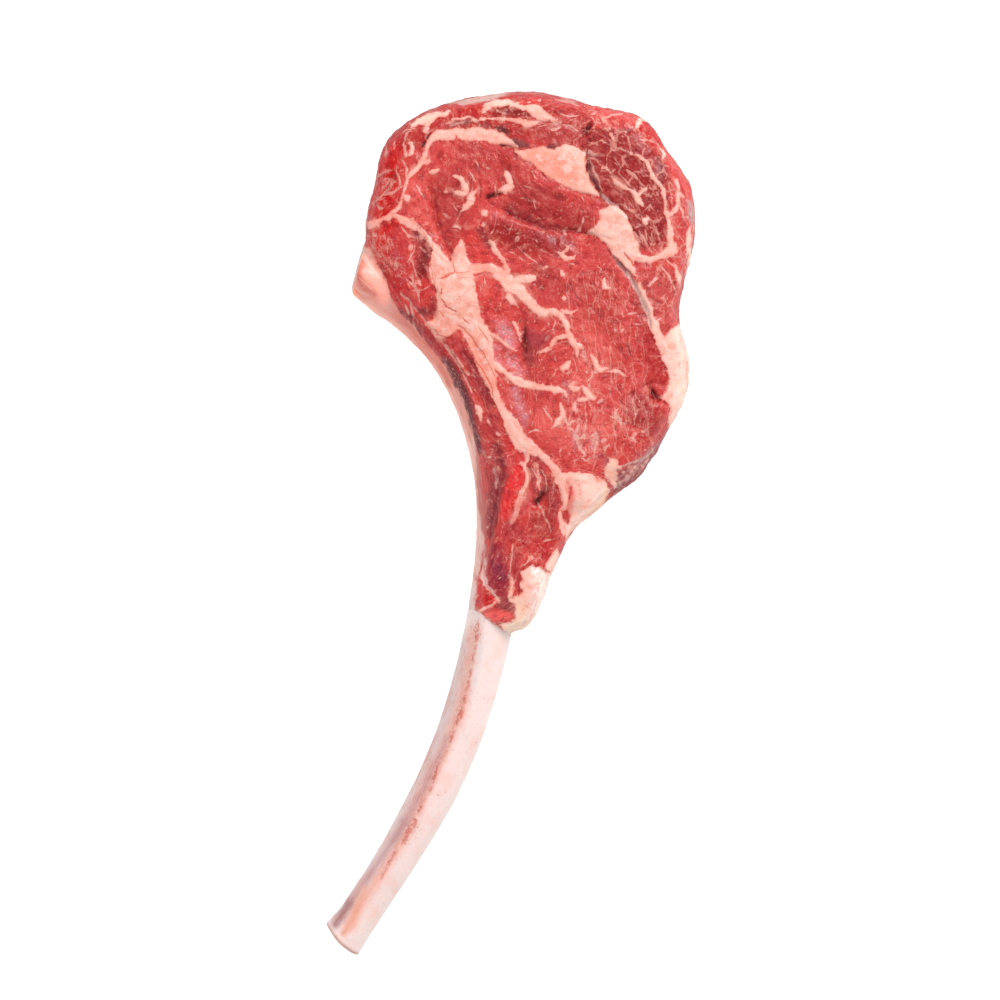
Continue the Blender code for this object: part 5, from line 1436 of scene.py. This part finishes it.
# ---- Relief ----
# Swellings, folds and knife nicks of the upper cut face. Folds are a depth and a width in mm with a line. A
# step lifts what lies to the left of its line, seen along it: a rise and a reach in mm, with a line.
FOLDS = [
    (1.5, 1.8, [(503, 210), (515, 216), (530, 222), (548, 229), (570, 230), (590, 234)]),
    (1.3, 1.1, [(431, 194), (434, 208), (437, 224), (443, 240), (451, 257)]),
    (1.1, 1.7, [(523, 324), (525, 340), (526, 358), (525, 366)]),
    (2.2, 0.9, [(487, 199), (493, 197), (500, 195)]),
    (1.6, 0.8, [(500, 146), (509, 148), (518, 149)]),
    (1.4, 0.9, [(586, 161), (589, 175), (594, 186), (600, 197)]),
    (1.8, 1.0, [(584, 135), (586, 130), (590, 127)]),
    (2.8, 1.6, [(650, 391), (654, 396), (657, 399)]),
    (2.2, 1.3, [(536, 502), (538, 499), (541, 495)]),
    (1.2, 1.0, [(529, 470), (531, 482), (534, 494)]),
    (1.0, 1.0, [(541, 474), (541, 484), (540, 494)]),
    (0.9, 1.2, [(630, 395), (638, 389), (648, 385), (660, 384)]),
    (0.9, 0.7, [(423, 146), (424, 143)]),
    (0.9, 0.7, [(428, 140), (429, 137)]),
    (0.7, 0.8, [(445, 128), (470, 124), (490, 129), (506, 134)]),
    (0.6, 0.8, [(608, 252), (620, 267), (633, 284), (643, 304), (650, 326)]),
    (0.6, 0.8, [(597, 200), (610, 203), (620, 209), (629, 223), (634, 238), (641, 252)]),
    (0.7, 0.9, [(436, 248), (432, 262), (434, 285), (438, 305), (434, 320)]),
    (0.5, 0.5, [(443, 278), (450, 274), (460, 268)]),
    (0.5, 0.5, [(441, 300), (447, 308), (454, 311)]),
    (0.5, 0.6, [(458, 325), (466, 334), (474, 345), (484, 360)]),
    (0.7, 0.7, [(404, 297), (416, 309), (430, 328), (446, 347), (463, 375), (476, 398)]),
    (0.9, 1.2, [(498, 455), (501, 475), (497, 500), (492, 525), (490, 548)]),
    (0.7, 0.8, [(524, 455), (529, 468), (526, 485), (520, 500), (517, 520)]),
    (0.8, 0.8, [(555, 475), (560, 495), (562, 520), (564, 540)]),
    (0.9, 0.7, [(519, 571), (526, 567), (535, 567), (547, 573)]),
    (0.8, 0.8, [(484, 560), (484, 575), (491, 592), (499, 600), (512, 600)]),
    (0.6, 0.8, [(383, 196), (390, 188), (395, 178)]),
    (0.7, 0.9, [(396, 330), (380, 312)]),
    (0.5, 0.7, [(478, 233), (487, 245), (494, 250)]),
    (0.6, 0.6, [(588, 236), (600, 241), (610, 252)]),
    (0.6, 0.6, [(517, 160), (531, 168), (545, 178), (565, 189), (590, 197)]),
]
STEPS = [
    (1.3, 8.0, [(503, 210), (515, 216), (530, 222), (548, 229), (570, 230), (590, 234)]),
    (-0.8, 4.0, [(431, 194), (434, 208), (437, 224), (443, 240), (451, 257)]),
    (-0.6, 5.0, [(522, 322), (525, 340), (526, 362), (525, 374)]),
    (0.6, 3.0, [(586, 161), (589, 175), (594, 186), (600, 197)]),
    (0.8, 4.0, [(519, 571), (526, 567), (535, 567), (547, 573)]),
]
MOUNDS = [  # column, row, radius and rise in mm
    (412, 205, 7, 0.7), (460, 165, 14, 0.6), (545, 200, 14, 1.0), (470, 280, 9, 0.5), (455, 292, 9, 0.7),
    (565, 166, 12, 0.7), (620, 228, 9, 0.6), (596, 300, 20, 0.7), (560, 360, 12, 0.5), (575, 420, 16, 0.7),
    (645, 345, 9, 0.5), (645, 420, 10, 0.6), (395, 255, 9, 0.6), (425, 298, 5, 0.5), (585, 492, 9, 0.6),
    (535, 590, 9, 0.6), (497, 575, 6, 0.8), (512, 488, 4, 0.7), (545, 515, 8, 0.6), (512, 485, 5, 0.5),
    (640, 160, 14, 0.6), (500, 300, 8, 0.5), (455, 130, 12, 0.4), (515, 113, 8, -0.6), (505, 345, 8, -0.3),
    (486, 245, 5, -0.7),
]


def beside(line, reach):
    """The points in reach of a line of columns and rows, with their signed offset and their distance."""
    near, offset, _, found = nearest(flat, curve_through([(*p, 0) for p in line], BAND_STEP), reach)
    return near, offset, found


height = np.zeros(len(flat))
for deep, wide, line in FOLDS:
    near, offset, found = beside(line, wide * 3)
    height[near] -= deep * bell(found, wide)
for rise, reach, line in STEPS:
    near, offset, found = beside(line, reach * 3)
    height[near] += rise * soft_step(offset, -0.8, 0.8) * np.exp(-found / reach)
for column, row, radius, rise in MOUNDS:
    cx, cy = plan(column, row)
    height += rise * np.exp(-((x - cx) ** 2 + (y - cy) ** 2) / radius**2)
FAT_RISE = 0.45  # mm that the fat stands above the lean
TORN_RISE = 0.9
fat_share = soft_step(fat, -0.5, 0.9)
height += FAT_RISE * fat_share
lumps = [(0.55, 11, 4.4, 2), (0.34 - 0.08 * fat_share, 3.6, 7.7, 2), (0.13 - 0.09 * fat_share, 1.7, 5.2, 2)]
height += lumpy(x, y, z, lumps) * (1 - 0.4 * inner_side)
height += torn_place * TORN_RISE * rolling(x, y, z, 2.1, 8.8, 2)
spots[:, 2] += height * on_top
# The sides and the underside are uneven too, across the surface.
rest = (1 - on_top)[:, None] * soft_step(z, 0.2, 2.5)[:, None]
ragged_side = 0.5 * rolling(x, y, z * 0.6, 8, 5.9, 3) + 0.36 * rolling(x, y, z, 3.2, 1.9, 2)
spots += facing * rest * (ragged_side * (1 - 0.6 * inner_side))[:, None]
HIGHEST = 48.6  # mm; a swelling that would pass it is flattened
crown = np.maximum(spots[:, 2] - HIGHEST + 1.0, 0)
spots[:, 2] = np.maximum(spots[:, 2] - crown + (1 - np.exp(-crown)), 0.0)
move_points(meat_mesh, spots / 1000)
meat_mesh.shade_smooth()

# What the finish needs to know at each point of the surface.
for name, values in {
    "fat": fat,
    "film": film,
    "thread": thread,
    "thread_gap": thread_gap,
    "thread_strength": thread_strength,
    "nick": nick,
    "nick_gap": nick_gap,
    "nick_strength": nick_strength,
    "netting": netting,
    "lilac_and_painted_sheen": lilac_and_painted_sheen,
    "torn_place": torn_place,
    "sawn_head": sawn_head,
    "sawn_radius": np.minimum(sawn_radius, 3.0),
    "rim": 1 - soft_step(facing[:, 2], 0.10, 0.80),
}.items():
    store(meat_mesh, name, values)
store(meat_mesh, "comb", comb, "FLOAT_VECTOR")
store(meat_mesh, "grain", np.stack([across, lengthwise, z], axis=1), "FLOAT_VECTOR")
store(meat_mesh, "lean_colour", lean_colour, "FLOAT_COLOR")
store(meat_mesh, "fat_colour", fat_colour, "FLOAT_COLOR")
store(meat_mesh, "film_colour", film_colour, "FLOAT_COLOR")

# ---- The meat's finish ----
# Raw beef and its fat, cut with a wet knife: fibre bundles in red water-filled flesh, threads and grains of
# fat between them, all under a thin film of juice that gives small soft highlights.
FIBRE_WIDTH, FIBRE_LENGTH = 0.9, 3.4  # mm; real fibres are finer, these are as coarse as the picture shows
STRAND_WIDTH, STRAND_LENGTH = 0.8, 8.0
SLIVER_WIDTH, SLIVER_LENGTH = 1.3, 3.2
DOT_WIDTH, DOT_LENGTH = 3.0, 3.5
COMB_WIDTH, COMB_LENGTH = 0.8, 14.0
NET_SIZE, LOBE_SIZE, CRUMB_SIZE, HEAD_PORE_SIZE = 9.0, 5.0, 3.0, 1.6
SWIRL_SIZE, SWIRL_REACH = 4.0, 2.2  # how far the bundles of fibre wander
STIR_SIZE, STIR_REACH = 25 / 6, 0.006  # mm, and metres that the cells of net, lobes and crumbs wander

beef = bpy.data.materials.new("raw_beef_cut_and_wet")
beef.use_nodes = True
tree = beef.node_tree
place = node(tree, "TexCoord", out="Object")
known = {
    name: node(tree, "Attribute", out="Fac", attribute_name=name)
    for name in (
        "fat", "film", "thread", "thread_gap", "thread_strength", "nick", "nick_gap", "nick_strength",
        "netting", "lilac_and_painted_sheen", "torn_place", "sawn_head", "sawn_radius", "rim",
    )
}
lean, fat_tone, film_tone = (
    node(tree, "Attribute", out="Color", attribute_name=name + "_colour") for name in ("lean", "fat", "film")
)
grain, combed = (node(tree, "Attribute", out="Vector", attribute_name=name) for name in ("grain", "comb"))
thread_side = node(tree, "Math", [known["thread"]], operation="ABSOLUTE")
nick_side = node(tree, "Math", [known["nick"]], operation="ABSOLUTE")

coarse, medium, grit, flecks, patches, lobes = (
    node(tree, "TexNoise", {"Vector": place, "Scale": 1000 / size, "Detail": detail, "Roughness": rough})
    for size, detail, rough in (
        (9.0, 2.0, 0.55),
        (3.2, 2.0, 0.6),
        (0.8, 2.0, 0.65),
        (1.2, 1.5, 0.6),
        (2.6, 2.0, 0.6),
        (4.4, 2.5, 0.62),
    )
)


def streaks(tree, vector, width, length, detail, rough):
    """Noise drawn out along the second axis of a vector in mm."""
    sizes = (1 / width, 1 / length, 1 / length)
    drawn_out = node(tree, "VectorMath", {0: vector, 1: sizes}, operation="MULTIPLY")
    return node(tree, "TexNoise", {"Vector": drawn_out, "Scale": 1.0, "Detail": detail, "Roughness": rough})


swirl = node(tree, "TexNoise", {"Vector": grain, "Scale": 1 / SWIRL_SIZE, "Detail": 2.0}, "Color")
bent = node(tree, "VectorMath", {0: swirl, 1: (SWIRL_REACH,) * 3, 2: grain}, operation="MULTIPLY_ADD")
fibres = streaks(tree, bent, FIBRE_WIDTH, FIBRE_LENGTH, 2.0, 0.55)
strands = streaks(tree, bent, STRAND_WIDTH, STRAND_LENGTH, 2.0, 0.6)
slivers = streaks(tree, bent, SLIVER_WIDTH, SLIVER_LENGTH, 1.5, 0.6)
combing = streaks(tree, combed, COMB_WIDTH, COMB_LENGTH, 3.0, 0.65)
stir = node(tree, "TexNoise", {"Vector": place, "Scale": 1000 / STIR_SIZE, "Detail": 2.0}, "Color")
rugged = node(tree, "VectorMath", {0: stir, 1: (STIR_REACH,) * 3, 2: place}, operation="MULTIPLY_ADD")
net, lobe = (
    node(tree, "TexVoronoi", {"Vector": rugged, "Scale": 1000 / size}, "Distance", feature="DISTANCE_TO_EDGE")
    for size in (NET_SIZE, LOBE_SIZE)
)

# Lean: dark between the fibres and in blotches, paler where thin fat lies under the cut.
deep = node(tree, "Mix", {0: 1.0, 6: lean, 7: (0.48, 0.28, 0.32, 1)}, blend_type="MULTIPLY", **COLOURS)
light_lean = laid_on(tree, lean, tone("#FFA392"), 0.30)
weave = added(tree, 0, (fibres, 0.46), (grit, 0.14), (medium, 0.40))
flesh = laid_on(tree, lean, deep, (weave, 0.50, 0.36, 0, 0.70))
flesh = laid_on(tree, flesh, light_lean, (weave, 0.50, 0.65, 0, 0.90))
flesh = laid_on(
    tree, flesh, tone("#F09585"), (strands, 0.60, 0.72), (coarse, 0.36, 0.58), (grit, 0.36, 0.50),
    (known["lilac_and_painted_sheen"], 0.3, 0.0), 0.30,
)
fleck = node(tree, "MapRange", [added(tree, flecks, (coarse, 0.34)), 0.80, 0.90, 0.0, 0.4], **SOFTLY)
sliver = node(tree, "MapRange", [added(tree, slivers, (coarse, -0.24)), 0.57, 0.68, 0.0, 0.6], **SOFTLY)
fleck = node(tree, "Math", [fleck, sliver], operation="MAXIMUM")
flesh = laid_on(tree, flesh, tone("#F5A797"), fleck)
# Dots of fat where the marbling is cut across: one in each cell of the bundles, from nothing to 1.3 mm.
dot_sizes = (1 / DOT_WIDTH, 1 / DOT_LENGTH, 1 / DOT_WIDTH)
dot_place = node(tree, "VectorMath", {0: bent, 1: dot_sizes}, operation="MULTIPLY")
to_middle = node(tree, "TexVoronoi", {"Vector": dot_place, "Scale": 1.0}, "Distance", voronoi_dimensions="2D")
cell_colour = to_middle.node.outputs["Color"]
dot_size = node(tree, "MapRange", [cell_colour, 0.46, 0.95, -0.08, 0.21], **SOFTLY)
dot = node(tree, "Math", [to_middle, dot_size], operation="SUBTRACT")
flesh = laid_on(tree, flesh, tone("#F6B0A2"), (dot, 0.045, -0.035), (coarse, 0.36, 0.54, 0.25, 0.85))
flesh = laid_on(tree, flesh, tone("#EC9A8C"), (net, 0.075, 0.02), (medium, 0.40, 0.54), known["netting"], 0.7)
# Lilac haze and pale specks where the membranes shine: their own tint, with painted sheen and painted glints.
flesh = laid_on(tree, flesh, tone("#D0888E"), (patches, 0.42, 0.56, 0.0, 0.75), known["lilac_and_painted_sheen"])
flesh = laid_on(tree, flesh, tone("#DCA8B8"), (patches, 0.56, 0.66, 0.0, 0.6), known["lilac_and_painted_sheen"])
flesh = laid_on(tree, flesh, tone("#F6BDBC"), (flecks, 0.56, 0.66), known["lilac_and_painted_sheen"], 0.8)
# Threads of fat. A colour led into a number gives its lightness: in maroon lean the threads stay darker.
ragged_thread = added(tree, -1.2, (thread_side, 1), (grit, 2.4))
beads = node(tree, "MapRange", [medium, 0.34, 0.50, 0.35, 1.0], **SOFTLY)
thread_mask = together(tree, (ragged_thread, 1.25, 0.55), (known["thread_gap"], 1.3, 0.9), beads)
thread_mask = together(tree, thread_mask, known["thread_strength"])
flesh = laid_on(tree, flesh, tone("#F6B6A6"), thread_mask, (lean, 0.06, 0.17, 0.55, 1.0))
# Beside a seam its fat frays into the lean, in slivers that lie along the fibres.
flesh = laid_on(tree, flesh, tone("#F09C8C"), (slivers, 0.53, 0.66), (known["fat"], -2.6, -0.3), 0.55)
# Seams of fat, with an uneven edge that frays along the fibres and is pinker where the fat thins out.
fat_edge = added(tree, -1.45, (known["fat"], 1), (medium, 1.8), (grit, 0.5), (slivers, 0.6))
fat_mask = node(tree, "MapRange", [fat_edge, -0.34, 0.34], **SOFTLY)
thin_fat = laid_on(tree, fat_tone, lean, 0.42)
fat_look = laid_on(tree, thin_fat, fat_tone, (fat_edge, -0.1, 1.1))
fat_look = laid_on(tree, fat_look, tone("#FF9A86"), (coarse, 0.44, 0.66, 0, 0.36))
fat_look = laid_on(tree, fat_look, tone("#FFCDBF"), (medium, 0.50, 0.72, 0, 0.5))
fat_look = laid_on(tree, fat_look, tone("#EE8474"), (lobe, 0.08, 0.0), (coarse, 0.48, 0.60), 0.32)
# Broad fat is made of small lobes: pale in their middles and bloodier between them.
broad = node(tree, "MapRange", [known["fat"], 1.2, 3.6], **SOFTLY)
fat_look = laid_on(tree, fat_look, tone("#F28E7C"), (lobes, 0.48, 0.36, 0.0, 0.42), broad)
fat_look = laid_on(tree, fat_look, tone("#FFD9CC"), (lobes, 0.48, 0.60, 0.0, 0.60), broad)
surface = laid_on(tree, flesh, fat_look, fat_mask)
# Films: streaked, half clear, over lean and fat alike.
film_look = laid_on(tree, film_tone, tone("#CC766C"), (combing, 0.50, 0.34, 0, 0.40))
film_look = laid_on(tree, film_look, tone("#FBD6CA"), (combing, 0.54, 0.70, 0, 0.6))
film_edge = added(tree, -0.6, (known["film"], 1), (medium, 1.2))
film_mask = node(tree, "MapRange", [film_edge, 0.14, 0.86, 0.0, 0.93], **SOFTLY)
surface = laid_on(tree, surface, film_look, film_mask)
# The sawn head of the rib: red-brown sponge in a dense pale rim.
head_pores = node(tree, "TexVoronoi", {"Vector": place, "Scale": 1000 / HEAD_PORE_SIZE}, "Distance")
head_sponge = laid_on(tree, tone("#96423A"), tone("#DDA38E"), (head_pores, 0.15, 0.5))
head_core = added(tree, known["sawn_radius"], (medium, 0.24))
head_look = laid_on(tree, tone("#F0CCBC"), head_sponge, (head_core, 0.98, 0.88))
surface = laid_on(tree, surface, head_look, known["sawn_head"])
# Torn corners: pale crumbs in brown crevices, darkest between the crumbs with painted shade.
crumb = node(tree, "TexVoronoi", {"Vector": rugged, "Scale": 1000 / CRUMB_SIZE}, "Distance")
crumb = added(tree, -0.45, (crumb, 1), (medium, 0.9))
crumbs = laid_on(tree, tone("#A86668"), tone("#F2BCAA"), (crumb, 0.46, 0.30))
crumbs = laid_on(tree, crumbs, tone("#6E383C"), (crumb, 0.50, 0.66, 0, 0.8))
surface = laid_on(tree, surface, crumbs, known["torn_place"], 0.45)
# Nicks and cracks, where the surface parts: painted shade turns them dark red, a redder red in fat.
ragged_nick = added(tree, -1.2, (nick_side, 1), (grit, 2.4))
nick_mask = together(tree, (ragged_nick, 1.3, 0.5), (known["nick_gap"], 1.6, 1.1), known["nick_strength"])
painted_crack_shade = laid_on(tree, (0.62, 0.22, 0.26, 1), (0.80, 0.24, 0.18, 1), fat_mask)
torn = node(tree, "Mix", {0: 1.0, 6: surface, 7: painted_crack_shade}, blend_type="MULTIPLY", **COLOURS)
surface = laid_on(tree, surface, torn, nick_mask)

# Fine relief, in mm: fibre ridges and grains in the lean, soft lobes in the fat.
lean_height = added(tree, 0, (grit, 0.17), (fibres, 0.36), (medium, 0.50), (fleck, 0.10))
small_lobe = node(tree, "MapRange", [lobe, 0.0, 0.14, 0.0, 0.03], **SOFTLY)
broad_lobe = together(tree, lobes, broad)
fat_height = added(tree, 0.15, (grit, 0.14), (medium, 0.50), (small_lobe, 1), (broad_lobe, 0.5))
film_height = added(tree, 0.35, (combing, 0.16))
fine_height = node(tree, "Mix", {0: fat_mask, 2: lean_height, 3: fat_height})
fine_height = node(tree, "Mix", {0: film_mask, 2: fine_height, 3: film_height})
fine_height = added(tree, fine_height, (nick_mask, -0.12))
# The sides have dried a little, so they shine less than the cut, and lean shines less than fat.
wet_share = together(tree, (known["rim"], 1.0, 0.2), (fat_mask, 0.0, 1.0, 0.76, 1.0))
feed(tree, tree.nodes["Principled BSDF"], {
    "Base Color": surface,
    "Normal": node(tree, "Bump", {"Strength": 0.9, "Distance": 0.001, "Height": fine_height}),
    "Roughness": node(tree, "MapRange", [medium, 0.35, 0.7, 0.30, 0.50], **SOFTLY),
    "IOR": 1.40,
    "Specular IOR Level": added(tree, 0.03, (wet_share, 0.33)),
    "Subsurface Weight": 0.25,
    "Subsurface Radius": (1.0, 0.35, 0.25),
    "Subsurface Scale": 0.0006,
    "Coat Weight": added(tree, 0, (wet_share, 0.14)),
    "Coat Roughness": 0.09,
})
meat_mesh.materials.append(beef)
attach(meat, "root")
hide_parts(*MEAT_NODES)
